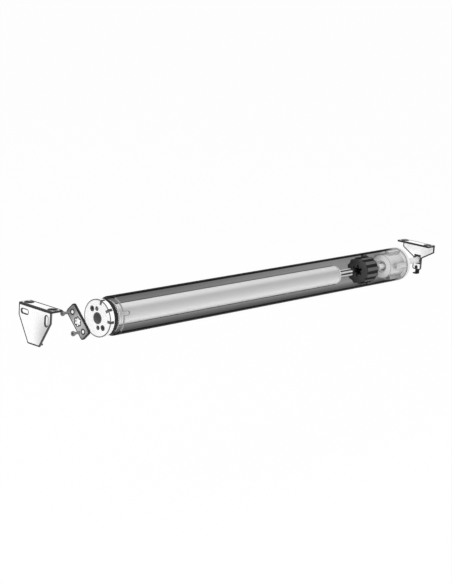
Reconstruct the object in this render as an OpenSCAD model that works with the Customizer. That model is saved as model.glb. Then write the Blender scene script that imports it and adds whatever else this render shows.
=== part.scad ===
// Tubular roller blind motor with its roller tube, idler and end brackets.
// X runs along the tube axis from the motor head to the idler, Z is up and
// -Y is the front. The origin is on the tube axis, on the head's outer face.
// The left bracket, adapter plate, plate screws and drive wheel are drawn
// pulled off along the axis. Angles round the axis run from the top
// towards the front.

/* [Roller tube] */
// Outer diameter of the roller tube
tube_d = 50; // [48:0.5:54]
// Wall of the roller tube
tube_wall = 1.5; // [1.2:0.1:1.8]
// Length of the roller tube
tube_len = 592; // [582:5:797]
// Distance from the crown collar to the tube's left end
tube_setback = 3.2; // [2:0.2:7]
// Width of the locating notch in the tube's left rim
notch_w = 4; // [3:0.5:5]
// Length of the locating notch
notch_len = 10; // [6:0.5:14]
// Angle of the locating notch
notch_angle = 71; // [60:1:100]

/* [Motor head] */
// Diameter of the head flange
head_d = 48; // [46:0.5:50]
// Thickness of the head flange
head_t = 6.5; // [6:0.5:8]
// Diameter of the spigot that the crown turns on
spigot_d = 37; // [36:0.5:37.5]
// Pitch circle of the two adapter screws
screw_pcd = 29; // [27:0.5:30]
// Angle of the adapter screws, negative towards the back
screw_angle = -45; // [-50:1:-40]
// Diameter of the adapter screws
screw_d = 3.5; // [3:0.5:4]
// Outer diameter of the threaded inserts
insert_d = 7; // [6.5:0.1:7.5]
// Length of the threaded inserts
insert_len = 12; // [9:0.5:14]
// Distance between the button hole and the socket hole
port_pitch = 23.8; // [23:0.2:24.6]
// Angle of the button hole, negative towards the back
port_angle = -9; // [-12:1:-7]
// Diameter of the button hole and the socket hole
port_d = 5.5; // [5:0.1:5.8]
// Diameter of the round recess in the middle of the head
recess_d = 14; // [13:0.5:14.5]
// Depth of the round recess
recess_depth = 8; // [7:0.5:9]
// Flutes round the recess
recess_flutes = 16; // [8:1:18]
// Travel of the setting button
button_travel = 0.6; // [0.4:0.1:0.8]
// Width of the notches in the head's rim
rim_notch_w = 2.6; // [2:0.2:3.2]
// Depth of the rim notches towards the axis
rim_notch_depth = 3.2; // [2.4:0.2:3.6]

/* [Crown] */
// Width of the crown's toothed ring
crown_w = 8; // [6:0.2:9]
// Teeth round the crown
crown_teeth = 64; // [48:4:80]
// Height of the crown's teeth
crown_tooth_h = 0.7; // [0.4:0.1:0.9]
// Thickness of the crown's prongs
prong_t = 2; // [1.6:0.1:2.4]
// Length of the crown's prongs inside the tube
prong_grip = 11; // [8:1:16]
// Width of the collar that keeps the crown on
collar_w = 3.2; // [2:0.2:4]

/* [Motor housing] */
// Outer diameter of the motor housing
housing_d = 28; // [27.6:0.2:30]
// Wall of the motor housing
housing_wall = 1.2; // [1:0.1:1.3]
// Length of the head's plug inside the housing
plug_len = 14; // [12:1:18]
// Length of the end cap's plug inside the housing
cap_plug = 14.5; // [12:0.5:18]
// Thickness of the end cap's flange
cap_flange = 3; // [2:0.5:4]

/* [Electronics] */
// Length of the circuit board
board_len = 96; // [80:2:110]
// Thickness of the circuit board
board_t = 1.6; // [1:0.2:2]
// Diameter of one battery cell
cell_d = 18.4; // [17.8:0.2:19]
// Length of one battery cell
cell_len = 65; // [60:1:70]
// Battery cells in a row
cell_count = 3; // [2:1:4]
// Wall of the battery cradle's ends
cradle_end = 3; // [2:0.5:4]
// Diameter of the power leads
lead_d = 1.3; // [1:0.1:1.6]

/* [Motor] */
// Outer diameter of the motor can
can_d = 22.8; // [22:0.2:23.4]
// Wall of the motor can
can_wall = 1; // [0.8:0.1:1.2]
// Length of the motor can
can_len = 62; // [56:2:76]
// Diameter of the rotor shaft
rotor_shaft_d = 3; // [2.6:0.1:3.4]
// Diameter of the armature
armature_d = 17; // [16:0.2:17.4]
// Air gap between the armature and the magnets
air_gap = 0.4; // [0.3:0.1:0.5]
// Slots in the armature
armature_slots = 5; // [3:2:7]

/* [Gear train] */
// Gear module
gear_m = 0.6; // [0.58:0.01:0.6]
// Teeth on each sun gear
sun_teeth = 12;
// Teeth on each planet gear
planet_teeth = 12;
// Length of a planet gear
planet_len = 10; // [8:0.5:11]
// Thickness of a planet carrier
carrier_t = 3; // [2.5:0.5:4]
// Diameter of a planet pin
planet_pin_d = 3; // [2.6:0.1:3.2]
// Backlash of each tooth flank
flank_play = 0.08; // [0.06:0.01:0.1]

/* [Output shaft and drive wheel] */
// Diameter over the lobes of the output shaft
star_d = 12.4; // [12:0.2:15]
// Width of a lobe of the output shaft
star_lobe = 3.2; // [2.8:0.2:3.6]
// Free length of the lobed shaft
star_len = 35.4; // [30:0.2:40]
// Share of the way from its seat to the idler pin that the drive wheel is pulled off
wheel_pull = 0.69; // [0.5:0.01:0.8]
// Length of the drive wheel
wheel_len = 26; // [20:1:28]
// Diameter of the drive wheel over its lobes
wheel_d = 39.6; // [36:0.4:42]
// Lobes round the drive wheel
wheel_lobes = 12; // [9:3:15]
// Width of the keys that fill the gap to the tube
wheel_key_w = 3; // [2:0.5:4]
// Distance of the keys from the wheel's front face
wheel_key_setback = 16; // [4:1:18]
// Mouth of the drive wheel's bore beyond the lobes of the output shaft
wheel_mouth = 2.7; // [1.5:0.1:3]

/* [Idler] */
// Length of the idler inside the tube
idler_len = 34; // [30:0.5:40]
// Diameter of the idler's barrel
idler_d = 36; // [34:0.5:40]
// Thickness of the idler's end flange
idler_flange = 4.5; // [2:0.5:5]
// Width of the idler's ribs
idler_rib_w = 8; // [6:0.5:10]
// Ribs round the idler
idler_ribs = 5; // [4:1:6]
// Angle of the idler's first rib
idler_rib_angle = 8; // [0:1:30]
// Diameter of the dish in the idler's front face
dish_d = 16; // [15.2:0.2:19]
// Depth of the dish
dish_depth = 4; // [3:0.5:5]
// Diameter of the idler pin
pin_d = 9; // [8:0.2:9.4]
// Travel of the idler pin
pin_travel = 9; // [8:0.5:10]
// Free length of the idler pin inside the tube
pin_tail = 9; // [7:0.5:12]

/* [Brackets] */
// Width of a bracket
bracket_w = 58; // [54:1:64]
// Height of a bracket's top face above the tube axis
bracket_top = 28; // [28:0.5:34]
// Depth of a bracket's top flange
flange_depth = 18; // [16:0.5:20]
// Thickness of the flange
flange_t = 2.5; // [2:0.1:3]
// Thickness of a bracket's plate
sheet_t = 2; // [1.6:0.1:2.4]
// Depth of the left plate below the tube axis
left_drop = 19; // [17:0.5:22]
// Width of the left plate's bottom edge
left_foot_w = 21; // [18:1:24]
// Height of a plate's straight sides
side_h = 15; // [12:0.5:17]
// Distance between the ceiling screw holes
ceiling_pitch = 42; // [38:1:44]
// Diameter of a ceiling screw hole
ceiling_hole_d = 4.8; // [4:0.1:5.2]
// Width of the countersink of a ceiling screw hole
countersink_d = 10.5; // [9:0.5:11.5]
// Width of the wall screw slots
slot_w = 4.8; // [4.4:0.1:5]
// Length of the wall screw slots
slot_len = 12.5; // [11:0.5:13]
// Distance from the head face to the pulled-off left bracket
left_distance = 99.4; // [90:1:110]
// Distance from the idler flange to the right bracket
right_distance = 53.7; // [45:0.1:60]
// Width of the right bracket's tongue
tongue_w = 15.6; // [15:0.2:18]

/* [Adapter plate] */
// Length of the adapter plate
plate_len = 44; // [42:0.5:46]
// Width of the adapter plate
plate_w = 18.6; // [17.5:0.1:20]
// Thickness of the adapter plate
plate_t = 3; // [2.5:0.1:3.5]
// Distance from the head face to the pulled-off adapter plate
plate_distance = 29.5; // [24:0.5:36]
// Distance of a pulled-off screw head from the plate
screw_distance = 14.5; // [12:0.5:16]
// Length of a plate screw below its head
screw_len = 9; // [8:0.5:10]
// Diameter over the lobes of the plate's star hole
plate_star_d = 10.8; // [9.6:0.2:11.2]
// Width of a lobe of the plate's star hole
plate_star_lobe = 2.6; // [2.2:0.1:3]
// Standing height of the left bracket's stud before its star
stud_boss = 8.5; // [8:0.5:10]
// Reach of the stud's star beyond the adapter plate
stud_reach = 5; // [4:0.5:6]

/* [Fits] */
// Radial clearance of a running fit
run_fit = 0.05; // [0.04:0.01:0.08]
// Clearance between pieces that are pushed together
push_fit = 0.1; // [0.06:0.01:0.15]
// Clearance between pieces that pass each other
free_gap = 0.3; // [0.25:0.05:0.4]

/* [Hidden] */

$fn = 96;
overcut = 1;

// Radii worked out from the diameters
tube_r = tube_d / 2;
bore_r = tube_r - tube_wall;
head_r = head_d / 2;
spigot_r = spigot_d / 2;
housing_r = housing_d / 2;
housing_in_r = housing_r - housing_wall;
inside_r = housing_in_r - run_fit;
plug_wall = 1.5;
plug_in_r = inside_r - plug_wall;
recess_r = recess_d / 2;
recess_core_r = 0.86 * recess_r;
flute_r = 0.14 * recess_r;
port_r = port_d / 2;
port_radius = port_pitch / 2;
screw_r = screw_d / 2;
screw_radius = screw_pcd / 2;

// Crown and collar, which follow the tube's bore
prong_r = bore_r - push_fit;
prong_in_r = prong_r - prong_t;
crown_r = bore_r - 1;
collar_r = prong_in_r - 2 * free_gap;
crown_x = head_t + free_gap;
collar_x = crown_x + crown_w + free_gap;
spigot_end = collar_x + collar_w;
collar_groove_w = 0.8;
collar_groove_depth = 0.6;
prong_angles = [notch_angle - 90, notch_angle + 90];
prong_span = 24;

// Head
housing_x = spigot_end;
tube_x = spigot_end + tube_setback;
tube_end = tube_x + tube_len;
rim_notch_angles = [13, 54, 92];
rim_notch_len = head_t - 1;
insert_hole_r = screw_r + run_fit;
port_pocket_r = port_r + 0.85;
port_pocket_x = 3.2;
button_set_in = 0.8;
button_foot_x = port_pocket_x + free_gap;
button_foot_t = 2;
button_foot_r = port_pocket_r - push_fit;
button_end = button_foot_x + button_foot_t + 2;
head_screw_x = housing_x + 8;
head_screw_r = 1.2;
head_screw_head_r = 2;
head_screw_angles = [0, 180];

// Electronics
board_x = housing_x + 1.5;
board_w = 2 * (plug_in_r - push_fit);
board_catch = 2;
board_z = -board_t / 2;
cradle_x = board_x + board_len - board_catch;
cell_r = cell_d / 2;
cell_x = cradle_x + cradle_end + free_gap;
cell_row = cell_count * cell_len;
cradle_far = cell_x + cell_row + free_gap;
cradle_x1 = cradle_far + cradle_end;
cradle_lip_z = 2.5;
lead_r = lead_d / 2;
lead_y = 4;
lead_z = (cell_r + inside_r) / 2 - 0.55;
terminal_len = 8;
terminal_x = cradle_x - 2 - terminal_len;
terminal_w = 2 * (lead_y + lead_r + 0.8);
switch_x = button_end + button_travel + free_gap;
switch_len = 4;
chip_w = 9;
chip_t = 1.6;
radio_w = 6;
driver_w = 12;
driver_t = 2.4;
shield_len = 14;
shield_w = 8;
shield_t = 3;
capacitor_r = 5;
capacitor_h = 6;

// Motor
sensor_x = cradle_x1;
sensor_t = 1.6;
magnet_x = sensor_x + sensor_t + 1;
magnet_len = 3;
magnet_r = 4;
holder_x = magnet_x + magnet_len + 1;
holder_t = 4;
can_r = can_d / 2;
can_in_r = can_r - can_wall;
can_x = holder_x + holder_t;
can_end_t = 2;
can_boss_len = 6;
can_boss_r = 4.6;
can_end = can_x + can_len;
bush_r = 3;
rotor_r = rotor_shaft_d / 2;
bush_in_r = rotor_r + run_fit;
brush_end = can_x + 9.3;
brush_size = 3;
commutator_r = 3.2;
commutator_x = brush_end - brush_size - 0.6;
commutator_len = 4;
armature_r = armature_d / 2;
field_r = armature_r + air_gap;
end_turn = 3;
armature_x = commutator_x + commutator_len + end_turn;
armature_len = can_end - can_boss_len - 2 - end_turn - armature_x;
winding_r = 7.6;
slot_mouth = 2.6;
winding_bar = 2.2;
magnet_span = 130;
damper_len = 6;
damper_xs = [can_x + 4, can_end - 4 - damper_len];

// Brake and gear train
disc_x = can_end + 2;
disc_t = 3;
disc_r = 8;
lining_x = disc_x + disc_t + push_fit;
lining_t = 2;
lining_in_r = 5;
plate_wall_r = 9.6;
gearbox_disc_x = lining_x + lining_t;
gearbox_disc_t = 3;
ring_x = gearbox_disc_x + gearbox_disc_t;
ring_teeth = sun_teeth + 2 * planet_teeth;
sun_pr = gear_m * sun_teeth / 2;
planet_pr = gear_m * planet_teeth / 2;
ring_pr = gear_m * ring_teeth / 2;
centre_r = sun_pr + planet_pr;
pressure_angle = 20;
tip_add = 0.8 * gear_m;
root_ded = 1.15 * gear_m;
ring_tip_add = 0.55 * gear_m;
planet_pin_r = planet_pin_d / 2;
planet_bore_r = planet_pin_r + run_fit;
planet_angles = [0, 120, 240];
stage_lead = 1;
carrier_gap = 0.4;
stage_pitch = stage_lead + planet_len + carrier_gap + carrier_t + 2.1;
stage_x = [for (i = [0:2]) ring_x + i * stage_pitch];
carrier_r = centre_r + planet_pin_r + 1.2;
ring_len = 3 * stage_pitch;
cap_x = ring_x + ring_len;
housing_end = cap_x + cap_plug;
housing_len = housing_end - housing_x;
cap_end = housing_end + cap_flange;

// Output shaft
star_r = star_d / 2;
star_lobes = 6;
star_core_r = star_r - 2.4;
journal_r = star_r + push_fit;
out_bush_in_r = journal_r + run_fit;
out_bush_r = out_bush_in_r + 2.1;
out_bush_x = cap_x + 0.5;
cap_lip = 1;
carrier3_x = stage_x[2] + stage_lead + planet_len + carrier_gap;
journal_x = carrier3_x + carrier_t;
tenon_w = 6;
circlip_t = 1;
circlip_r = star_r + 1.8;
circlip_x = cap_end + free_gap;
star_x = circlip_x + circlip_t + free_gap;
shaft_end = star_x + star_len;

// Idler
idler_x = tube_end - idler_len;
idler_r = idler_d / 2;
idler_rib_setback = 7;
idler_rib_r = bore_r - run_fit;
pin_r = pin_d / 2;
pin_bore_r = pin_r + run_fit;
dish_floor = idler_x + dish_depth;
idler_wall = 4;
chamber_x = dish_floor + idler_wall;
chamber_r = pin_r + 3.5;
chamber_end = tube_end + idler_flange - 6;
bush_wall = 2.2;
collar_t = 2;
pin_collar_x = chamber_end - collar_t - free_gap;
pin_collar_r = chamber_r - free_gap;
pin_x = idler_x - pin_tail;
clip_t = 1;
clip_x = dish_floor - clip_t - push_fit;
clip_r = pin_r + 2.2;
clip_groove_r = pin_r - 0.6;
idler_end = tube_end + idler_flange;

// Drive wheel
wheel_seat_x = star_x + 2;
wheel_travel = wheel_pull * (pin_x - wheel_seat_x - wheel_len);
wheel_x = wheel_seat_x + wheel_travel;
wheel_r = wheel_d / 2;
wheel_lobe_r = 0.17 * wheel_r;
wheel_hub_r = wheel_r - 0.45 * wheel_lobe_r;
wheel_bore_r = star_r + 0.2;
wheel_bore_lobe = star_lobe + 0.4;
wheel_bore_core_r = star_core_r + 0.2;
wheel_mouth_len = 2;
wheel_key_r = bore_r - push_fit;
wheel_key_angles = prong_angles;

// Right bracket
right_x = idler_end + right_distance;
right_out = right_x + sheet_t;
pin_tip_r = pin_r - 0.5;
pin_shoulder_x = right_x - 1.2;
pin_clear = 2.7;
pin_end = right_x + pin_travel - pin_clear;
window_w = 2 * pin_tip_r + 0.5;
window_low = -pin_tip_r - push_fit;
window_high = 6.85;
neck_z = 3.6;
tongue_drop = 15;
tongue_round_r = 3;
hook_x = right_out + free_gap;
hook_t = 1.8;
hook_pivot_z = -11;
hook_pivot_r = 1.5;
hook_boss_r = 3.5;
hook_arm_in = pin_tip_r + 0.45;
hook_arm_w = 3;
hook_top_z = pin_tip_r + 0.5;
hook_top_h = 2.6;
hook_tip_y = -2.4;
hook_tail_drop = 10.4;
hook_tab = 8;
hook_tab_t = 1.8;
rivet_head_r = 2.6;
rivet_head_t = 1.1;

// Left bracket and adapter plate
left_in = -left_distance;
left_out = left_in - sheet_t;
foot_tab_w = 13;
foot_tab = 7.5;
slot_across = [18, -9.5];
slot_upright = [-21, -13];
seat_gap = 0.2;
plate_x = -plate_distance - plate_t;
plate_travel = plate_distance - seat_gap;
plate_round_r = 3.5;
plate_hole_r = screw_r + 0.3;
plate_star_r = plate_star_d / 2;
plate_star_core_r = plate_star_r - 1.7;
stud_boss_r = 8.5;
stud_len = stud_boss + seat_gap + plate_t + stud_reach;
stud_play = 0.25;
screw_head_r = 3.2;
screw_head_t = 2.4;
cross_len = 3.8;
cross_w = 0.8;
cross_depth = 1.3;
screw_x = plate_x - screw_distance;
bracket_travel = left_distance - stud_boss - plate_t - 2 * seat_gap;
screw_travel = screw_distance + plate_travel - push_fit;

// Idler spring
spring_x = chamber_x + push_fit;
spring_end = pin_collar_x - push_fit;
spring_wire = 1;
spring_turns = 5;
spring_r = pin_r + spring_wire / 2 + 0.6;
spring_steps = 8;
spring_last = spring_steps * spring_turns;
spring_points = [for (i = [0:spring_last]) let (t = i * 360 / spring_steps)
    [spring_x + spring_wire / 2 + (spring_end - spring_x - spring_wire) * i / spring_last,
        spring_r * cos(t), spring_r * sin(t)]];
echo(least_spring_gap = min([for (i = [0:spring_last], j = [i + spring_steps / 2:spring_last])
    norm(spring_points[i] - spring_points[j])]) - spring_wire);
echo(travels = [plate_travel, screw_travel, bracket_travel, wheel_travel]);
echo(stations = [spigot_end, tube_x, housing_end, cap_end, shaft_end, wheel_x, idler_x, tube_end,
    idler_end, right_x, right_out]);

// Helpers

// Stands a shape on the tube axis at x, drawn along the axis
module on_axis(x) translate([x, 0, 0]) rotate([0, 90, 0]) children();

// Turns a shape about the tube axis, from the top towards the front
module turned(angle) rotate([angle, 0, 0]) children();

// Stands a shape beside the tube axis at an angle and a radius
module beside(x, angle, radius) turned(angle) translate([x, 0, radius]) rotate([0, 90, 0]) children();

// Solid round piece on the tube axis
module rod(x, length, r) on_axis(x) cylinder(h = length, r = r);

// Ring on the tube axis
module ring(x, length, r_out, r_in) difference() {
    rod(x, length, r_out);
    rod(x - overcut, length + 2 * overcut, r_in);
}

// Outline of a lobed star
module star2d(r, core_r, lobe) {
    circle(r = core_r);
    for (i = [0:star_lobes - 1]) rotate(i * 360 / star_lobes) {
        translate([0, -lobe / 2]) square([r - lobe / 2, lobe]);
        translate([r - lobe / 2, 0]) circle(d = lobe, $fn = 32);
    }
}

// Sector of a disc, spread about the direction of the top
module sector2d(r, span) {
    steps = 8;
    polygon(concat([[0, 0]], [for (i = [0:steps])
        let (a = 180 - span / 2 + i * span / steps) [r * cos(a), r * sin(a)]]));
}

// Part of a ring about an angle
module arc_piece(x, length, r_out, r_in, angle, span) turned(angle) intersection() {
    ring(x, length, r_out, r_in);
    on_axis(x - overcut) linear_extrude(length + 2 * overcut) sector2d(2 * r_out, span);
}

// Involute of an angle, in degrees
function involute(a) = tan(a) * 180 / PI - a;

// Half the angle that a tooth takes at radius r
function tooth_half(r, pr, thick) =
    let (base = pr * cos(pressure_angle))
    thick / (2 * pr) * 180 / PI + involute(pressure_angle) - involute(acos(min(1, base / max(r, base))));

// Outline of a gear, a tooth centred on the first axis
function gear_points(teeth, thick, root, tip) =
    let (pr = gear_m * teeth / 2,
        base = max(root, pr * cos(pressure_angle)),
        radii = [root, base, (base + tip) / 2, tip])
    [for (i = [0:teeth - 1], side = [-1, 1], k = [0:3])
        let (r = radii[side < 0 ? k : 3 - k], a = i * 360 / teeth + side * tooth_half(r, pr, thick))
        [r * cos(a), r * sin(a)]];

// Outer gear with its first tooth turned by phase
module gear(x, length, teeth, phase) {
    pr = gear_m * teeth / 2;
    on_axis(x) rotate(phase) linear_extrude(length)
        polygon(gear_points(teeth, PI * gear_m / 2 - flank_play, pr - root_ded, pr + tip_add));
}

// Planet gear at an angle round the axis, with its bore
module planet(stage, angle) {
    x = stage_x[stage] + stage_lead;
    turned(angle) translate([0, 0, centre_r]) difference() {
        gear(x, planet_len, planet_teeth, 0);
        rod(x - overcut, planet_len + 2 * overcut, planet_bore_r);
    }
}

// Carrier with its three pins
module carrier(stage) {
    x = stage_x[stage] + stage_lead;
    rod(x + planet_len + carrier_gap, carrier_t, carrier_r);
    for (a = planet_angles) turned(a) translate([0, 0, centre_r])
        rod(x - free_gap, planet_len + free_gap + carrier_gap + carrier_t / 2, planet_pin_r);
}

// Sun gear of the next stage, standing on a carrier
module carrier_sun(stage) {
    x = stage_x[stage] + stage_lead + planet_len + carrier_gap + carrier_t;
    gear(x, stage_x[stage + 1] + stage_lead + planet_len - x, sun_teeth, 180 / sun_teeth);
}

// Wire bent along points that wind round the tube axis
module coil(points, wire) {
    sides = 6;
    last = len(points) - 1;
    skin = [for (p = points, k = [0:sides - 1])
        let (w = k * 360 / sides, out = [0, p.y, p.z] / norm([0, p.y, p.z]))
        p + wire / 2 * (cos(w) * out + [sin(w), 0, 0])];
    walls = [for (i = [0:last - 1], k = [0:sides - 1], half = [0, 1])
        let (a = i * sides + k, b = i * sides + (k + 1) % sides)
        half == 0 ? [a, b, b + sides] : [a, b + sides, a + sides]];
    caps = [for (k = [1:sides - 2], e = [0, 1]) e == 0 ? [0, k + 1, k]
        : [last * sides, last * sides + k, last * sides + k + 1]];
    polyhedron(points = skin, faces = concat(walls, caps), convexity = 8);
}

// Upright screw hole through a flange, countersunk at the top
module ceiling_hole(x, y) translate([x, y, bracket_top - flange_t]) {
    flare = (countersink_d - ceiling_hole_d) / 2;
    sink = flare / 2;
    translate([0, 0, -overcut]) cylinder(h = flange_t + 2 * overcut, d = ceiling_hole_d);
    translate([0, 0, flange_t - sink])
        cylinder(h = sink + overcut, r1 = ceiling_hole_d / 2, r2 = countersink_d / 2 + flare / sink * overcut);
}

// Flange of a bracket with its two ceiling holes
module bracket_flange(x) difference() {
    translate([x, -bracket_w / 2, bracket_top - flange_t]) cube([flange_depth, bracket_w, flange_t]);
    for (s = [-1, 1]) ceiling_hole(x + flange_depth / 2, s * ceiling_pitch / 2);
}

// Flat sheet drawn from the front of the tube's end, y to the left and z up
module sheet(x, thick) translate([x, 0, 0]) rotate([90, 0, 90]) linear_extrude(thick) children();

// Slot for a wall screw, drawn flat
module slot2d(length, width) {
    square([length - width, width], center = true);
    for (s = [-1, 1]) translate([s * (length - width) / 2, 0]) circle(d = width, $fn = 48);
}

// Motor head

// Fluted outline of the round recess
module recess2d() {
    circle(r = recess_core_r);
    for (i = [0:recess_flutes - 1]) rotate((i + 0.5) * 360 / recess_flutes)
        translate([recess_r - flute_r, 0]) circle(r = flute_r, $fn = 32);
}

module motor_head() color("whitesmoke") difference() {
    union() {
        rod(0, head_t, head_r);
        rod(head_t, spigot_end - head_t, spigot_r);
        rod(housing_x, plug_len, inside_r);
    }
    on_axis(-overcut) linear_extrude(recess_depth + overcut) recess2d();
    rod(housing_x - 3.5, plug_len + 3.5 + overcut, plug_in_r);
    for (a = [screw_angle, screw_angle + 180])
        beside(-overcut, a, screw_radius) cylinder(h = insert_len + overcut, d = insert_d);
    for (a = [port_angle, port_angle + 180]) {
        beside(-overcut, a, port_radius) cylinder(h = port_pocket_x + 2 * overcut, r = port_r);
        beside(port_pocket_x, a, port_radius)
            cylinder(h = spigot_end - port_pocket_x + overcut, r = port_pocket_r);
    }
    for (a = rim_notch_angles) turned(a)
        translate([-overcut, -rim_notch_w / 2, head_r - rim_notch_depth])
            cube([rim_notch_len + overcut, rim_notch_w, rim_notch_depth + overcut]);
    for (a = head_screw_angles) turned(a) translate([head_screw_x, 0, plug_in_r - overcut])
        cylinder(h = plug_wall + 3 * overcut, r = head_screw_r, $fn = 32);
}

module screw_inserts() color("dimgray") for (a = [screw_angle, screw_angle + 180])
    beside(0, a, screw_radius) difference() {
        cylinder(h = insert_len, d = insert_d);
        translate([0, 0, -overcut]) cylinder(h = insert_len + 2 * overcut, r = insert_hole_r);
    }

module head_screws() color("silver") for (a = head_screw_angles) turned(a) translate([head_screw_x, 0, 0]) {
    translate([0, 0, plug_in_r + 0.2]) cylinder(h = housing_r - plug_in_r - 0.7, r = head_screw_r, $fn = 32);
    translate([0, 0, housing_r - 0.6]) cylinder(h = 0.6, r = head_screw_head_r, $fn = 32);
}

module charging_socket() color("black") beside(port_pocket_x, port_angle + 180, port_radius) difference() {
    cylinder(h = spigot_end - port_pocket_x, r = port_pocket_r - push_fit);
    translate([0, 0, -overcut]) cylinder(h = 8 + overcut, r = port_r - 0.4);
}

module setting_button() color("gainsboro") {
    beside(button_set_in, port_angle, port_radius)
        cylinder(h = button_end - button_set_in, r = port_r - run_fit);
    beside(button_foot_x, port_angle, port_radius)
        cylinder(h = button_foot_t, r = button_foot_r);
}

module crown_collar() color("white") difference() {
    ring(collar_x, collar_w, collar_r, spigot_r);
    ring(collar_x + collar_w - 2 * collar_groove_w, collar_groove_w, collar_r + overcut,
        collar_r - collar_groove_depth);
}

module crown() color("black") {
    difference() {
        on_axis(crown_x) linear_extrude(crown_w) polygon([for (i = [0:2 * crown_teeth - 1])
            let (r = crown_r - (i % 2) * crown_tooth_h, a = i * 180 / crown_teeth) [r * cos(a), r * sin(a)]]);
        rod(crown_x - overcut, crown_w + 2 * overcut, spigot_r + run_fit);
    }
    for (a = prong_angles) {
        arc_piece(crown_x + crown_w - 1.5, collar_w + tube_setback + 1.5 + free_gap + prong_grip,
            prong_r, prong_in_r, a, prong_span);
        arc_piece(crown_x + 1, crown_w - 1, prong_r, prong_in_r - 1, a, prong_span);
    }
}

// Motor housing and electronics

module motor_housing() color("silver") difference() {
    ring(housing_x, housing_len, housing_r, housing_in_r);
    for (a = head_screw_angles) turned(a) {
        translate([head_screw_x, 0, housing_in_r - overcut])
            cylinder(h = 2 * overcut + housing_wall, r = head_screw_r, $fn = 32);
        translate([head_screw_x, 0, housing_r - 0.6])
            cylinder(h = 2 * overcut, r = head_screw_head_r, $fn = 32);
    }
}

module circuit_board() color("darkgreen")
    translate([board_x, -board_w / 2, board_z]) cube([board_len, board_w, board_t]);

// Package that lies on the board at a share of its length
module package(share, length, width, height)
    translate([board_x + share * board_len - length / 2, -width / 2, board_z + board_t])
        cube([length, width, height]);

module board_components() {
    color("black") {
        package(0.28, chip_w, chip_w, chip_t);
        package(0.44, radio_w, radio_w, chip_t);
        package(0.77, driver_w, driver_w, driver_t);
        beside(switch_x, port_angle, port_radius) cylinder(h = switch_len, r = port_r - 0.3);
    }
    color("silver") package(0.6, shield_len, shield_w, shield_t);
    color("seagreen") translate([terminal_x, -terminal_w / 2, board_z + board_t])
        cube([terminal_len, terminal_w, lead_z + lead_r - board_z - board_t]);
    color("navy") for (share = [0.31, 0.45])
        translate([board_x + share * board_len, 0, board_z - capacitor_h])
            cylinder(h = capacitor_h, r = capacitor_r);
}

module battery_cradle() color("dimgray") difference() {
    rod(cradle_x, cradle_x1 - cradle_x, inside_r);
    rod(cell_x - free_gap, cell_row + 2 * free_gap, cell_r + push_fit);
    translate([cell_x - free_gap, -2 * housing_r, cradle_lip_z])
        cube([cell_row + 2 * free_gap, 4 * housing_r, 2 * housing_r]);
    translate([cradle_x - overcut, -board_w / 2 - push_fit, board_z - push_fit])
        cube([board_catch + push_fit + overcut, board_w + 2 * push_fit, board_t + 2 * push_fit]);
    for (s = [-1, 1]) translate([0, s * lead_y, lead_z])
        rod(cradle_x - overcut, cradle_x1 - cradle_x + 2 * overcut, lead_r + push_fit);
    rod(cradle_far - overcut, 2 * cradle_end, 2);
}

module battery_cells() color("steelblue") for (i = [0:cell_count - 1]) {
    rod(cell_x + i * cell_len, cell_len - 1.2, cell_r);
    rod(cell_x + (i + 1) * cell_len - 1.2, 1.2 - run_fit, 3);
}

module power_leads() color("red") for (s = [-1, 1]) translate([0, s * lead_y, lead_z])
    rod(terminal_x + terminal_len, holder_x - terminal_x - terminal_len, lead_r);

module encoder_board() color("darkgreen") difference() {
    rod(sensor_x, sensor_t, inside_r);
    for (s = [-1, 1]) translate([0, s * lead_y, lead_z])
        rod(sensor_x - overcut, sensor_t + 2 * overcut, lead_r + push_fit);
}

// Motor

module encoder_magnet() color("black") ring(magnet_x, magnet_len, magnet_r, rotor_r);

module brush_holder() color("ivory") difference() {
    union() {
        rod(holder_x, holder_t, can_r);
        ring(can_x, brush_end - can_x, can_in_r - run_fit, can_in_r - 3.4);
    }
    rod(holder_x - overcut, holder_t + 2 * overcut, bush_r);
    for (s = [-1, 1]) translate([brush_end - brush_size - 0.1, s * 7 - 4, -brush_size / 2 - run_fit])
        cube([brush_size + overcut, 8, brush_size + 2 * run_fit]);
}

module brushes() color("dimgray") for (s = [-1, 1]) difference() {
    translate([brush_end - brush_size, s > 0 ? commutator_r : -can_in_r + 0.6, -brush_size / 2])
        cube([brush_size - 0.1, can_in_r - 0.6 - commutator_r, brush_size]);
    rod(brush_end - brush_size - overcut, brush_size + 2 * overcut, commutator_r + run_fit);
}

module motor_dampers() color("black") for (x = damper_xs) ring(x, damper_len, inside_r, can_r);

module motor_can() color("lightgray") difference() {
    rod(can_x, can_len, can_r);
    rod(can_x - overcut, can_len - can_boss_len + overcut, can_in_r);
    ring(can_end - can_boss_len - overcut, can_boss_len - can_end_t + overcut, can_in_r, can_boss_r);
    rod(can_end - can_boss_len - overcut, can_boss_len + 2 * overcut, bush_r);
}

module field_magnets() color("dimgray") for (a = [0, 180])
    arc_piece(armature_x - 1, armature_len + 2, can_in_r - run_fit, field_r, a, magnet_span);

module motor_bushes() color("goldenrod") {
    ring(holder_x, holder_t, bush_r, bush_in_r);
    ring(can_end - can_boss_len, can_boss_len, bush_r, bush_in_r);
}

module rotor_shaft() color("silver")
    rod(magnet_x, stage_x[0] + stage_lead + planet_len - magnet_x, rotor_r);

module commutator() color("chocolate") difference() {
    ring(commutator_x, commutator_len, commutator_r, rotor_r);
    for (i = [0:armature_slots - 1]) turned(i * 360 / armature_slots)
        translate([commutator_x - overcut, -0.2, commutator_r - 0.5])
            cube([commutator_len + 2 * overcut, 0.4, 1]);
}

module armature() color("gray") on_axis(armature_x) linear_extrude(armature_len) difference() {
    circle(r = armature_r);
    circle(r = rotor_r);
    for (i = [0:armature_slots - 1]) rotate(i * 360 / armature_slots) {
        translate([armature_r - 2.9, 0]) circle(r = slot_mouth / 2, $fn = 32);
        translate([armature_r - 2.9, -0.5]) square([5, 1]);
    }
}

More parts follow.
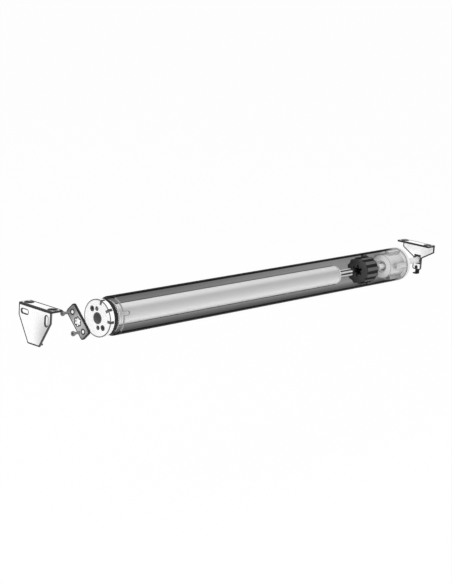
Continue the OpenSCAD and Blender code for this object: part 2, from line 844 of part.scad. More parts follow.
module rotor_winding() color("peru") {
    for (x = [armature_x - end_turn + 0.1, armature_x + armature_len])
        ring(x, end_turn - 0.1, winding_r, rotor_r + 1.5);
    for (i = [0:armature_slots - 1]) rotate([i * 360 / armature_slots, 0, 0])
        translate([0, 0, -armature_r + 2.9])
            rod(armature_x - 0.2, armature_len + 0.4, winding_bar / 2);
}

module brake_disc() color("silver") ring(disc_x, disc_t, disc_r, rotor_r);

module brake_lining() color("saddlebrown") ring(lining_x, lining_t, disc_r + 1, lining_in_r);

// Gear train

module motor_pinion() color("goldenrod") difference() {
    gear(stage_x[0] + stage_lead, planet_len, sun_teeth, 180 / sun_teeth);
    rod(stage_x[0], planet_len + 3, rotor_r);
}

module gearbox_plate() color("gray") difference() {
    rod(can_end, ring_x - can_end, inside_r);
    rod(can_end - overcut, lining_x + lining_t - can_end + overcut, plate_wall_r);
    rod(can_end, ring_x - can_end + overcut, rotor_r + 0.8);
}

module gear_ring() color("gray") difference() {
    rod(ring_x, ring_len, inside_r);
    on_axis(ring_x - overcut) linear_extrude(ring_len + 2 * overcut) polygon(gear_points(ring_teeth,
        PI * gear_m / 2 + flank_play, ring_pr - ring_tip_add, ring_pr + root_ded));
}

module first_planet_a() color("khaki") planet(0, planet_angles[0]);
module first_planet_b() color("khaki") planet(0, planet_angles[1]);
module first_planet_c() color("khaki") planet(0, planet_angles[2]);
module second_planet_a() color("khaki") planet(1, planet_angles[0]);
module second_planet_b() color("khaki") planet(1, planet_angles[1]);
module second_planet_c() color("khaki") planet(1, planet_angles[2]);
module third_planet_a() color("khaki") planet(2, planet_angles[0]);
module third_planet_b() color("khaki") planet(2, planet_angles[1]);
module third_planet_c() color("khaki") planet(2, planet_angles[2]);

module first_carrier() color("tan") {
    carrier(0);
    carrier_sun(0);
}

module second_carrier() color("tan") {
    carrier(1);
    carrier_sun(1);
}

module output_carrier() color("tan") difference() {
    carrier(2);
    translate([carrier3_x - overcut, -tenon_w / 2, -tenon_w / 2])
        cube([carrier_t + 2 * overcut, tenon_w, tenon_w]);
}

module output_shaft() color("silver") {
    translate([carrier3_x, -tenon_w / 2 + run_fit, -tenon_w / 2 + run_fit])
        cube([carrier_t + 0.5, tenon_w - 2 * run_fit, tenon_w - 2 * run_fit]);
    rod(journal_x, star_x - journal_x, journal_r);
    on_axis(star_x) linear_extrude(star_len) star2d(star_r, star_core_r, star_lobe);
}

module shaft_circlip() color("dimgray") ring(circlip_x, circlip_t, circlip_r, journal_r);

module output_bush() color("goldenrod")
    ring(out_bush_x, cap_end - cap_lip - out_bush_x, out_bush_r, out_bush_in_r);

module end_cap() color("gainsboro") difference() {
    union() {
        rod(cap_x, cap_plug, inside_r);
        rod(housing_end, cap_flange, housing_r);
    }
    rod(cap_x - overcut, cap_end - cap_lip - cap_x + overcut, out_bush_r);
    rod(cap_x, cap_end - cap_x + overcut, journal_r + free_gap);
}

// Drive wheel, roller tube and idler

module drive_wheel() color("#3a3a3a") difference() {
    union() {
        on_axis(wheel_x) linear_extrude(wheel_len) {
            circle(r = wheel_hub_r);
            for (i = [0:wheel_lobes - 1]) rotate((i + 0.5) * 360 / wheel_lobes)
                translate([wheel_r - wheel_lobe_r, 0]) circle(r = wheel_lobe_r, $fn = 48);
        }
        for (a = wheel_key_angles) intersection() {
            turned(a) translate([wheel_x + wheel_key_setback, -wheel_key_w / 2, wheel_hub_r - 2])
                cube([wheel_len - wheel_key_setback, wheel_key_w, tube_r]);
            rod(wheel_x, wheel_len, wheel_key_r);
        }
    }
    on_axis(wheel_x - overcut) linear_extrude(wheel_len + 2 * overcut)
        star2d(wheel_bore_r, wheel_bore_core_r, wheel_bore_lobe);
    on_axis(wheel_x - overcut) linear_extrude(wheel_mouth_len + overcut)
        star2d(wheel_bore_r + wheel_mouth, wheel_bore_core_r + wheel_mouth / 2, wheel_bore_lobe + 0.4);
}

module roller_tube() color("gray", 0.5) difference() {
    ring(tube_x, tube_len, tube_r, bore_r);
    turned(notch_angle) translate([tube_x, 0, 0]) {
        translate([-overcut, -notch_w / 2, 0]) cube([notch_len - notch_w / 2 + overcut, notch_w, 2 * tube_r]);
        translate([notch_len - notch_w / 2, 0, 0]) cylinder(h = 2 * tube_r, d = notch_w);
    }
}

module idler_body() color("lightgray") difference() {
    union() {
        rod(idler_x, idler_len, idler_r);
        rod(tube_end, idler_flange, tube_r);
        for (i = [0:idler_ribs - 1]) intersection() {
            turned(idler_rib_angle + i * 360 / idler_ribs)
                translate([idler_x + idler_rib_setback, -idler_rib_w / 2, idler_r - 2])
                    cube([idler_len - idler_rib_setback, idler_rib_w, tube_r]);
            rod(idler_x, idler_len, idler_rib_r);
        }
    }
    rod(idler_x - overcut, dish_depth + overcut, dish_d / 2);
    rod(dish_floor - overcut, idler_wall + 2 * overcut, pin_bore_r + bush_wall);
    rod(chamber_x, idler_end - chamber_x + overcut, chamber_r);
}

module idler_bushes() color("white") {
    ring(dish_floor, idler_wall, pin_bore_r + bush_wall, pin_bore_r);
    ring(chamber_end, idler_end - chamber_end, chamber_r, pin_bore_r);
}

module idler_pin() color("gainsboro") difference() {
    union() {
        rod(pin_x, pin_shoulder_x - pin_x, pin_r);
        rod(pin_collar_x, collar_t, pin_collar_r);
        rod(pin_shoulder_x, pin_end - pin_shoulder_x, pin_tip_r);
    }
    ring(clip_x, clip_t, pin_r + overcut, clip_groove_r);
}

module pin_circlip() color("dimgray") difference() {
    ring(clip_x, clip_t - run_fit, clip_r, clip_groove_r + run_fit);
    translate([clip_x - overcut, -1.6, 0]) cube([clip_t + 2 * overcut, 3.2, 2 * clip_r]);
}

module idler_spring() color("silver") coil(spring_points, spring_wire);

// Brackets

module right_bracket() color("white") {
    translate([right_out - flange_depth, 0, 0]) bracket_flange(0);
    sheet(right_x, sheet_t) difference() {
        union() {
            polygon([[-bracket_w / 2, bracket_top - flange_t], [bracket_w / 2, bracket_top - flange_t],
                [bracket_w / 2, bracket_top - side_h + 3], [tongue_w / 2, neck_z],
                [tongue_w / 2, -tongue_drop + tongue_round_r], [-tongue_w / 2, -tongue_drop + tongue_round_r],
                [-tongue_w / 2, neck_z], [-bracket_w / 2, bracket_top - side_h + 3]]);
            translate([-tongue_w / 2 + tongue_round_r, -tongue_drop])
                square([tongue_w - 2 * tongue_round_r, 2 * tongue_round_r]);
            for (s = [-1, 1]) translate([s * (tongue_w / 2 - tongue_round_r), -tongue_drop + tongue_round_r])
                circle(r = tongue_round_r, $fn = 48);
        }
        translate([-window_w / 2, window_low]) square([window_w, window_high - window_low]);
        translate([0, hook_pivot_z]) circle(r = hook_pivot_r + run_fit, $fn = 48);
    }
}

module retaining_hook() color("#202020") {
    sheet(hook_x, hook_t) {
        translate([0, hook_pivot_z]) circle(r = hook_boss_r);
        translate([0, hook_pivot_z]) square([hook_arm_in + hook_arm_w, hook_boss_r]);
        translate([hook_arm_in, hook_pivot_z]) square([hook_arm_w, hook_top_z - hook_pivot_z]);
        translate([hook_tip_y, hook_top_z]) square([hook_arm_in + hook_arm_w - hook_tip_y, hook_top_h]);
        translate([-hook_boss_r, hook_pivot_z - hook_tail_drop]) square([2 * hook_boss_r, hook_tail_drop]);
    }
    translate([hook_x + hook_t - hook_tab, -hook_boss_r, hook_pivot_z - hook_tail_drop])
        cube([hook_tab, 2 * hook_boss_r, hook_tab_t]);
    translate([0, 0, hook_pivot_z]) {
        rod(right_x - free_gap, hook_x - right_x + 2 * free_gap, hook_pivot_r);
        rod(right_x - free_gap - rivet_head_t, rivet_head_t, rivet_head_r);
    }
}

module left_bracket() color("white") {
    translate([left_out, 0, 0]) bracket_flange(0);
    sheet(left_out, sheet_t) difference() {
        polygon([[-bracket_w / 2, bracket_top - flange_t], [bracket_w / 2, bracket_top - flange_t],
            [bracket_w / 2, bracket_top - side_h], [left_foot_w / 2, -left_drop],
            [-left_foot_w / 2, -left_drop], [-bracket_w / 2, bracket_top - side_h]]);
        translate([slot_across[0], bracket_top + slot_across[1]]) slot2d(slot_len, slot_w);
        translate([slot_upright[0], bracket_top + slot_upright[1]]) rotate(90) slot2d(slot_len, slot_w);
    }
    translate([left_in, -foot_tab_w / 2, -left_drop]) cube([foot_tab, foot_tab_w, sheet_t]);
}

module bracket_stud() color("silver") {
    rod(left_in, stud_boss, stud_boss_r);
    on_axis(left_in + stud_boss) linear_extrude(stud_len - stud_boss)
        star2d(plate_star_r - stud_play, plate_star_core_r - stud_play, plate_star_lobe - 2 * stud_play);
}

module adapter_plate() color("gray") turned(screw_angle) sheet(plate_x, plate_t) difference() {
    union() {
        square([plate_w - 2 * plate_round_r, plate_len], center = true);
        square([plate_w, plate_len - 2 * plate_round_r], center = true);
        for (i = [-1, 1], j = [-1, 1])
            translate([i * (plate_w / 2 - plate_round_r), j * (plate_len / 2 - plate_round_r)])
                circle(r = plate_round_r, $fn = 48);
    }
    for (s = [-1, 1]) translate([0, s * screw_radius]) circle(r = plate_hole_r);
    rotate(-screw_angle + 90) star2d(plate_star_r, plate_star_core_r, plate_star_lobe);
}

module plate_screws() color("gray") for (a = [screw_angle, screw_angle + 180])
    beside(screw_x, a, screw_radius) difference() {
        union() {
            cylinder(h = screw_len, r = screw_r);
            translate([0, 0, -screw_head_t]) cylinder(h = screw_head_t, r = screw_head_r);
        }
        for (q = [0, 90]) rotate(q) translate([-cross_len / 2, -cross_w / 2, -screw_head_t - overcut])
            cube([cross_len, cross_w, overcut + cross_depth]);
    }

motor_head();
screw_inserts();
head_screws();
charging_socket();
setting_button();
crown_collar();
crown();
motor_housing();
circuit_board();
board_components();
battery_cradle();
battery_cells();
power_leads();
encoder_board();
encoder_magnet();
brush_holder();
brushes();
motor_dampers();
motor_can();
field_magnets();
motor_bushes();
rotor_shaft();
commutator();
armature();
rotor_winding();
brake_disc();
brake_lining();
motor_pinion();
gearbox_plate();
gear_ring();
first_planet_a();
first_planet_b();
first_planet_c();
first_carrier();
second_planet_a();
second_planet_b();
second_planet_c();
second_carrier();
third_planet_a();
third_planet_b();
third_planet_c();
output_carrier();
output_shaft();
shaft_circlip();
output_bush();
end_cap();
drive_wheel();
roller_tube();
idler_body();
idler_bushes();
idler_pin();
pin_circlip();
idler_spring();
right_bracket();
retaining_hook();
left_bracket();
bracket_stud();
adapter_plate();
plate_screws();
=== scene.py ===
"""Looks of the tubular roller blind motor.

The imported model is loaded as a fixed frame. Each sub-assembly is a class that breaks the
edges of its CAD nodes and gives them their finishes. Lengths are in millimetres unless a
name says otherwise, and angles are in degrees. Angles round the tube axis run from the top
towards the front. Tones run from 0, black, to 255, white, as a screen shows them.
"""

from __future__ import annotations

import logging
import math
from dataclasses import dataclass
from enum import Enum

import bmesh
import bpy
from mathutils import Matrix, Vector


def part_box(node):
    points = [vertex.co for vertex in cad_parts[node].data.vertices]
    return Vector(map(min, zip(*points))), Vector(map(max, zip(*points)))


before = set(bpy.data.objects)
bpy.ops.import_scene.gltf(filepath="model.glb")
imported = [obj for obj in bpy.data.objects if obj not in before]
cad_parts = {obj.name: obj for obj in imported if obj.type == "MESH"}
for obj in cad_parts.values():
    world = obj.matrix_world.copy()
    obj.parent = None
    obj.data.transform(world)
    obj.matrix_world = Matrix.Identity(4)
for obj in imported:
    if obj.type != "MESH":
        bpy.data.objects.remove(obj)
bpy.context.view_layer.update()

LOG = logging.getLogger("roller_blind_motor")
MM = 0.001
FRAME_WIDTH, FRAME_HEIGHT = 452, 584
X, Y, Z = range(3)

Colour = tuple[float, float, float, float]
Point = tuple[float, float, float]
Pair = tuple[float, float]


def display(red: float, green: float | None = None, blue: float | None = None) -> Colour:
    """Turns a colour as a screen shows it, from 0 to 255, into a shader's colour.

    Args:
        red: The red part, or the grey level where it stands alone.
        green: The green part.
        blue: The blue part.

    Returns:
        The linear colour.
    """
    parts = (red, red if green is None else green, red if blue is None else blue)
    linear = [
        part / 255 / 12.92 if part <= 10 else ((part / 255 + 0.055) / 1.055) ** 2.4
        for part in parts
    ]
    return (linear[0], linear[1], linear[2], 1.0)


def dimmed(colour: Colour, share: float) -> Colour:
    """Takes a share of its light from a colour."""
    return (colour[0] * (1 - share), colour[1] * (1 - share), colour[2] * (1 - share), 1.0)


def span(node: str, axis: int = X) -> Pair:
    """Where a CAD node starts and ends along an axis."""
    low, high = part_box(node)
    return (low[axis] / MM, high[axis] / MM)


def direction(azimuth: float, elevation: float) -> Vector:
    """Points from the object to a place in the studio.

    Args:
        azimuth: The angle round the object, where 0 is in front of it.
        elevation: The angle above the horizon.

    Returns:
        The direction, one long.
    """
    around, up = math.radians(azimuth), math.radians(elevation)
    level = math.cos(up)
    return Vector((math.sin(around) * level, -math.cos(around) * level, math.sin(up)))


class Brushing(Enum):
    """The way that fine scratches run, as factors on the three axes of their noise."""

    ALONG_TUBE = (0.02, 1.0, 1.0)
    NONE = (1.0, 1.0, 1.0)


class Signal:
    """What a node's socket gives, for use in Python expressions."""

    def __init__(self, board: Board, socket: bpy.types.NodeSocket) -> None:
        """Keeps the socket and the board that it is on."""
        self.board = board
        self.socket = socket

    def __add__(self, other: Signal | float) -> Signal:
        """This plus the other."""
        return self.board.maths("ADD", self, other)

    __radd__ = __add__

    def __sub__(self, other: Signal | float) -> Signal:
        """This less the other."""
        return self.board.maths("SUBTRACT", self, other)

    def __rsub__(self, other: Signal | float) -> Signal:
        """The other less this."""
        return self.board.maths("SUBTRACT", other, self)

    def __mul__(self, other: Signal | float) -> Signal:
        """This times the other."""
        return self.board.maths("MULTIPLY", self, other)

    __rmul__ = __mul__

    def __truediv__(self, other: Signal | float) -> Signal:
        """This over the other."""
        return self.board.maths("DIVIDE", self, other)

    def __rtruediv__(self, other: Signal | float) -> Signal:
        """The other over this."""
        return self.board.maths("DIVIDE", other, self)

    def __lt__(self, other: Signal | float) -> Signal:
        """1 where this is less than the other, and 0 elsewhere."""
        return self.board.maths("LESS_THAN", self, other)

    def __gt__(self, other: Signal | float) -> Signal:
        """1 where this is more than the other, and 0 elsewhere."""
        return self.board.maths("GREATER_THAN", self, other)

    def __neg__(self) -> Signal:
        """This with the other sign."""
        return self * -1.0

    def __abs__(self) -> Signal:
        """This without its sign."""
        return self.board.maths("ABSOLUTE", self, 0.0)

    def sibling(self, output: str | int) -> Signal:
        """Another output of the same node."""
        return Signal(self.board, self.socket.node.outputs[output])

    def least(self, other: Signal | float) -> Signal:
        """The smaller of this and the other."""
        return self.board.maths("MINIMUM", self, other)

    def most(self, other: Signal | float) -> Signal:
        """The larger of this and the other."""
        return self.board.maths("MAXIMUM", self, other)

    def rise(self, low: float, high: float) -> Signal:
        """Rises smoothly from 0 at low to 1 at high, which may be under low for a fall."""
        ends = {"Value": self, "From Min": low, "From Max": high}
        return self.board.node("ShaderNodeMapRange", {"interpolation_type": "SMOOTHSTEP"}, ends)

    def spread(self, low: float = 0.3, high: float = 0.7) -> Signal:
        """Widens noise about 0.5 to the whole way from 0 to 1."""
        return self.rise(low, high)

    def about(self, middle: float, swing: float) -> Signal:
        """Moves noise about 0.5 to another middle, and scales it to a swing."""
        return self * swing + (middle - swing / 2)


class Board:
    """The node tree of a material, of the world or of a modifier."""

    def __init__(self, tree: bpy.types.NodeTree) -> None:
        """Keeps the tree and clears it."""
        self.tree = tree
        self.tree.nodes.clear()

    def node(
        self,
        kind: str,
        settings: dict[str, object] | None = None,
        sockets: dict[str | int, object] | None = None,
        output: str | int = 0,
    ) -> Signal:
        """Adds one node.

        Args:
            kind: The node's type.
            settings: What is set on the node first. A ramp's stops are pairs of place and colour.
            sockets: The values or signals of its input sockets.
            output: The output that is wanted.

        Returns:
            What that output gives, or the first input of a node that has no output.
        """
        made = self.tree.nodes.new(kind)
        for name, value in (settings or {}).items():
            if name == "stops":
                self._set_stops(made.color_ramp, value)
            else:
                setattr(made, name, value)
        for key, value in (sockets or {}).items():
            if isinstance(value, Signal):
                self.tree.links.new(value.socket, made.inputs[key])
            else:
                made.inputs[key].default_value = value
        return Signal(self, made.outputs[output] if made.outputs else made.inputs[0])

    @staticmethod
    def _set_stops(ramp: bpy.types.ColorRamp, stops: list[tuple[float, Colour]]) -> None:
        """Gives a ramp its stops.

        Args:
            ramp: The ramp, which starts with two stops.
            stops: Pairs of place and colour, in order.
        """
        while len(ramp.elements) < len(stops):
            ramp.elements.new(1.0)
        for element, (place, colour) in zip(ramp.elements, stops):
            element.position = place
            element.color = colour

    def maths(self, operation: str, first: Signal | float, second: Signal | float) -> Signal:
        """Adds one Math node."""
        return self.node("ShaderNodeMath", {"operation": operation}, {0: first, 1: second})

    def mix(self, share: Signal | float, first: Signal | Colour, second: Signal | Colour) -> Signal:
        """Mixes two colours, where a share of 0 gives the first and 1 the second."""
        return self.node("ShaderNodeMix", {"data_type": "RGBA"}, {0: share, 6: first, 7: second}, 2)

    def position(self, brushing: Brushing = Brushing.NONE) -> Signal:
        """The point on the object in millimetres.

        Args:
            brushing: The way in which noise is drawn out there.

        Returns:
            The point as a vector.
        """
        place = self.node("ShaderNodeTexCoord", output="Object")
        factors = tuple(factor / MM for factor in brushing.value)
        return self.node("ShaderNodeVectorMath", {"operation": "MULTIPLY"}, {0: place, 1: factors})

    def axes(self, vector: Signal) -> tuple[Signal, Signal, Signal]:
        """The three parts of a vector."""
        first = self.node("ShaderNodeSeparateXYZ", {}, {0: vector})
        return (first, first.sibling(Y), first.sibling(Z))

    def place(self) -> tuple[Signal, Signal, Signal]:
        """The point's place along, across and above the tube axis."""
        return self.axes(self.position())

    def faces(self, axis: int, least: float = 0.6) -> Signal:
        """1 on faces that are about square to an axis of the resting object, and 0 elsewhere."""
        return abs(self.axes(self.node("ShaderNodeTexCoord", output="Normal"))[axis]) > least

    def radius(self, first: Signal, second: Signal) -> Signal:
        """How long the vector with these two parts is."""
        return self.maths("POWER", first * first + second * second, 0.5)

    def toward(self, across: Signal, up: Signal, angle: float) -> tuple[Signal, Signal]:
        """How far a point is out along a line at an angle round the axis, and how far beside it."""
        sine, cosine = math.sin(math.radians(angle)), math.cos(math.radians(angle))
        return (up * cosine - across * sine, across * cosine + up * sine)

    def bar(self, along: Signal, aside: Signal, half: float, round_radius: float) -> Signal:
        """How far outside a bar a point is, whose round ends' centres lie half from its middle."""
        return self.radius((abs(along) - half).most(0.0), aside) - round_radius

    def noise(
        self,
        size: float,
        detail: float = 3.0,
        brushing: Brushing = Brushing.NONE,
        point: Signal | None = None,
    ) -> Signal:
        """Soft noise about 0.5.

        Args:
            size: The size of its blotches.
            detail: How many finer layers it has.
            brushing: The way in which it is drawn out.
            point: Where it is read, if that isn't the point on the object.

        Returns:
            The noise.
        """
        vector = self.position(brushing) if point is None else point
        sockets = {"Vector": vector, "Scale": 1.0 / size, "Detail": detail}
        return self.node("ShaderNodeTexNoise", {}, sockets, "Fac")

    def bump(self, height: Signal, depth: float) -> Signal:
        """Roughens a surface by a height from 0 to 1, where 1 stands for the depth."""
        return self.node("ShaderNodeBump", {}, {"Height": height, "Distance": depth * MM})

    def surface(self, **sockets: Signal | Colour | float) -> None:
        """Ends the tree with one Principled surface. Its sockets' names have _ for a space."""
        named = {name.replace("_", " "): value for name, value in sockets.items()}
        self.show(self.node("ShaderNodeBsdfPrincipled", {}, named))

    def show(self, shader: Signal) -> None:
        """Leads a shader to the material's output."""
        self.node("ShaderNodeOutputMaterial", {}, {"Surface": shader})


@dataclass(frozen=True)
class Finish:
    """What a surface is made of. Each kind of finish paints its own board."""

    name: str

    def material(self) -> bpy.types.Material:
        """Makes the Blender material when it is first asked for.

        Returns:
            The material.
        """
        found = bpy.data.materials.get(self.name)
        if found is None:
            found = bpy.data.materials.new(self.name)
            found.use_nodes = True
            self.paint(Board(found.node_tree))
        return found

    def paint(self, board: Board) -> None:
        """Draws the finish on a board."""
        raise NotImplementedError


@dataclass(frozen=True)
class Clouded(Finish):
    """A finish whose gloss varies in soft clouds."""

    roughness: float = 0.425
    gloss_swing: float = 0.15
    cloud_size: float = 5.0

    def clouds(self, board: Board) -> Signal:
        """Soft noise about 0.5."""
        return board.noise(self.cloud_size)

    def rough(self, clouds: Signal) -> Signal:
        """The roughness, which follows the clouds."""
        return clouds.about(self.roughness, self.gloss_swing)


@dataclass(frozen=True)
class Grained(Clouded):
    """A clouded finish with fine grain."""

    grain_size: float = 0.5
    grain_depth: float = 0.012

    def grain(self, board: Board) -> Signal:
        """The grain, as a bump."""
        return board.bump(board.noise(self.grain_size, detail=2.0), self.grain_depth)


@dataclass(frozen=True)
class Moulded(Grained):
    """Moulded plastic or rubber, with fine grain and faint blotches."""

    roughness: float = 0.45
    gloss_swing: float = 0.12
    cloud_size: float = 9.0
    grain_size: float = 0.35
    grain_depth: float = 0.02
    colour: Colour = display(200)
    blotch: float = 0.08
    gloss: float = 0.5
    painted_glow: float = 0.0

    def paint(self, board: Board) -> None:
        """Draws grain as bump, and blotches as colour and gloss. Pale plastic may get a painted
        glow.

        Args:
            board: The board to draw on.
        """
        clouds = self.clouds(board)
        # A painted glow, where one is set, lights the piece though it is no lamp.
        board.surface(
            Base_Color=self.tone(board, clouds),
            Roughness=self.rough(clouds),
            Specular_IOR_Level=self.gloss,
            Emission_Color=self.colour,
            Emission_Strength=self.painted_glow,
            Normal=self.grain(board),
        )

    def tone(self, board: Board, clouds: Signal) -> Signal:
        """Blotches the colour."""
        return board.mix(clouds.spread(), dimmed(self.colour, self.blotch), self.colour)


@dataclass(frozen=True)
class KeyedNylon(Moulded):
    """Nylon of the drive wheel, with painted shade between its lobes, a painted lighter side and
    paler keys.
    """

    face_least: float = 0.5
    painted_side_light: Colour = display(92)
    groove_from: float = 18.6
    groove_to: float = 19.1
    groove_shade: Colour = display(16)
    key_from: float = 20.0
    key_colour: Colour = display(140)

    def tone(self, board: Board, clouds: Signal) -> Signal:
        """Adds the painted light of the side, the painted shade of the grooves and the keys' paler
        colour to the blotches.

        Args:
            board: The board to draw on.
            clouds: Soft noise about 0.5.

        Returns:
            The wheel's colour.
        """
        across, up = board.place()[1:]
        radius = board.radius(across, up)
        # The side is painted lighter than the face, and the grooves between the lobes get painted
        # shade.
        side = 1.0 - board.faces(X, self.face_least)
        groove = radius.rise(self.groove_to, self.groove_from) * side
        plain = board.mix(side, super().tone(board, clouds), self.painted_side_light)
        plain = board.mix(groove, plain, self.groove_shade)
        return board.mix(radius > self.key_from, plain, self.key_colour)


@dataclass(frozen=True)
class Metal(Finish):
    """Bare or plated metal with brushed or turned streaks."""

    roughness: float = 0.32
    gloss_swing: float = 0.2
    colour: Colour = display(180)
    brushing: Brushing = Brushing.NONE
    streak: float = 0.18
    streak_size: float = 0.5
    streak_depth: float = 0.006
    streak_detail: float = 4.0
    metallic: float = 0.85
    gloss: float = 0.5

    def paint(self, board: Board) -> None:
        """Draws streaks as colour, gloss and bump.

        Args:
            board: The board to draw on.
        """
        streaks = self.streaks(board)
        board.surface(
            Base_Color=self.tone(board, streaks),
            Metallic=self.metallic,
            Roughness=streaks.about(self.roughness, self.gloss_swing),
            Specular_IOR_Level=self.gloss,
            Normal=board.bump(streaks, self.streak_depth),
        )

    def streaks(self, board: Board) -> Signal:
        """Noise about 0.5 that is drawn out along the brushing."""
        return board.noise(self.streak_size, self.streak_detail, self.brushing)

    def tone(self, board: Board, streaks: Signal) -> Signal:
        """Streaks the colour."""
        return board.mix(streaks.spread(), dimmed(self.colour, self.streak), self.colour)


@dataclass(frozen=True)
class FlutedSteel(Metal):
    """Steel shaft that is bright on its lobes, with painted shade down between them."""

    roughness: float = 0.4
    colour: Colour = display(206)
    brushing: Brushing = Brushing.ALONG_TUBE
    streak: float = 0.2
    metallic: float = 0.3
    valley_shade: Colour = display(40)
    streak_colour: Colour = display(120)
    valley_radius: float = 4.6
    lobe_radius: float = 5.9

    def tone(self, board: Board, streaks: Signal) -> Signal:
        """Runs from the painted shade of the valleys to the lobes' colour, with lengthwise streaks.

        Args:
            board: The board to draw on.
            streaks: Noise about 0.5 that is drawn out along the tube.

        Returns:
            The shaft's colour.
        """
        across, up = board.place()[1:]
        # Painted shade in the valleys between the lobes.
        lobe = board.radius(across, up).rise(self.valley_radius, self.lobe_radius)
        tone = board.mix(lobe, self.valley_shade, self.colour)
        return board.mix(streaks.spread() * self.streak, tone, self.streak_colour)


@dataclass(frozen=True)
class HeadPlastic(Grained):
    """White plastic of the motor head, with painted shade and a faint painted glow in its holes, its
    recess and its rim notches.

    Each kind of hole has a hole at its angle and one across the axis from it. A kind is given by
    its angle, its distance from the axis and its radius.
    """

    roughness: float = 0.375
    cloud_size: float = 6.0
    colour: Colour = display(246)
    rim_blotch_tone: Colour = display(205)
    rim_blotch_share: float = 0.3
    rim_blotch_size: float = 4.0
    rim_blotch_width: float = 4.0
    dark: Colour = display(74)
    painted_glow: Colour = display(60)
    speck: Colour = display(190)
    speck_share: float = 0.3
    speck_size: float = 0.9
    speck_range: Pair = (0.55, 0.68)
    line: Colour = display(104)
    recess_radius: float = 7.6
    recess_end: float = 9.0
    holes: tuple[tuple[float, float, float], ...] = ((-45.0, 14.5, 3.75), (-9.0, 11.9, 2.95))
    rim_radius: float = span("motor_head", Z)[1]
    rim_line: float = 1.4
    rim_line_depth: float = 0.6
    rim_end: float = 5.7
    notch_angles: tuple[float, ...] = (13.0, 54.0, 92.0)
    notch_half: float = 1.9
    notch_floor: float = 17.8

    def paint(self, board: Board) -> None:
        """Draws the face with faint darker blotches towards its dark rim line, and painted shade in
        its hollows.

        Args:
            board: The board to draw on.
        """
        along, across, up = board.place()
        radius = board.radius(across, up)
        # Faint darker blotches towards the rim.
        rim_blotch_share = radius.rise(self.rim_radius - self.rim_blotch_width, self.rim_radius) * self.rim_blotch_share
        face = board.mix(board.noise(self.rim_blotch_size) * rim_blotch_share, self.colour, self.rim_blotch_tone)
        rim = (radius > self.rim_radius - self.rim_line) * (along < self.rim_line_depth)
        face = board.mix(rim, face, self.line)
        # Painted shade in the recess, the holes and the rim notches, lifted a little by a painted
        # glow.
        sunk = self.sunk(board, across, up) * (along < self.recess_end)
        shaded_hollows = sunk.most(self.notches(board, across, up) * (along < self.rim_end))
        specks = board.noise(self.speck_size, detail=2.0).spread(*self.speck_range)
        dark = board.mix(specks * self.speck_share, self.dark, self.speck)
        board.surface(
            Base_Color=board.mix(shaded_hollows, face, dark),
            Emission_Color=board.mix(shaded_hollows, display(0), self.painted_glow),
            Emission_Strength=1.0,
            Roughness=self.rough(self.clouds(board)),
            Normal=self.grain(board),
        )

    def sunk(self, board: Board, across: Signal, up: Signal) -> Signal:
        """Finds the recess and the holes.

        Args:
            board: The board to draw on.
            across: The point's Y.
            up: The point's Z.

        Returns:
            1 in the recess or in a hole and 0 elsewhere.
        """
        found = board.radius(across, up) < self.recess_radius
        for angle, reach, hole_radius in self.holes:
            for half_turn in (0.0, 180.0):
                outward, aside = board.toward(across, up, angle + half_turn)
                found = found.most(board.radius(outward - reach, aside) < hole_radius)
        return found

    def notches(self, board: Board, across: Signal, up: Signal) -> Signal:
        """Finds the rim notches with the flat marks on the face beside them.

        Args:
            board: The board to draw on.
            across: The point's Y.
            up: The point's Z.

        Returns:
            1 in a notch or mark and 0 elsewhere.
        """
        found = across * 0.0
        for angle in self.notch_angles:
            outward, aside = board.toward(across, up, angle)
            found = found.most((abs(aside) < self.notch_half) * (outward > self.notch_floor))
        return found


@dataclass(frozen=True)
class GroovedPlastic(Grained):
    """White plastic of the collar, with painted shade as a dark line round its groove and a painted
    glow.
    """

    colour: Colour = display(250)
    line: Colour = display(30)
    start: float = span("crown_collar")[0]
    groove_shade_lead: float = 1.4
    groove_shade_width: float = 1.2
    painted_glow: float = 0.3

    def paint(self, board: Board) -> None:
        """Draws the plastic, the painted shade in the groove and the painted glow.

        Args:
            board: The board to draw on.
        """
        # Painted shade: a dark ring in the groove. The whole collar gets a painted glow.
        past = board.place()[X] - (self.start + self.groove_shade_lead)
        line = (past > 0.0) * (past < self.groove_shade_width)
        tone = board.mix(line, self.colour, self.line)
        board.surface(
            Base_Color=tone,
            Emission_Color=tone,
            Emission_Strength=self.painted_glow,
            Roughness=self.rough(self.clouds(board)),
            Normal=self.grain(board),
        )


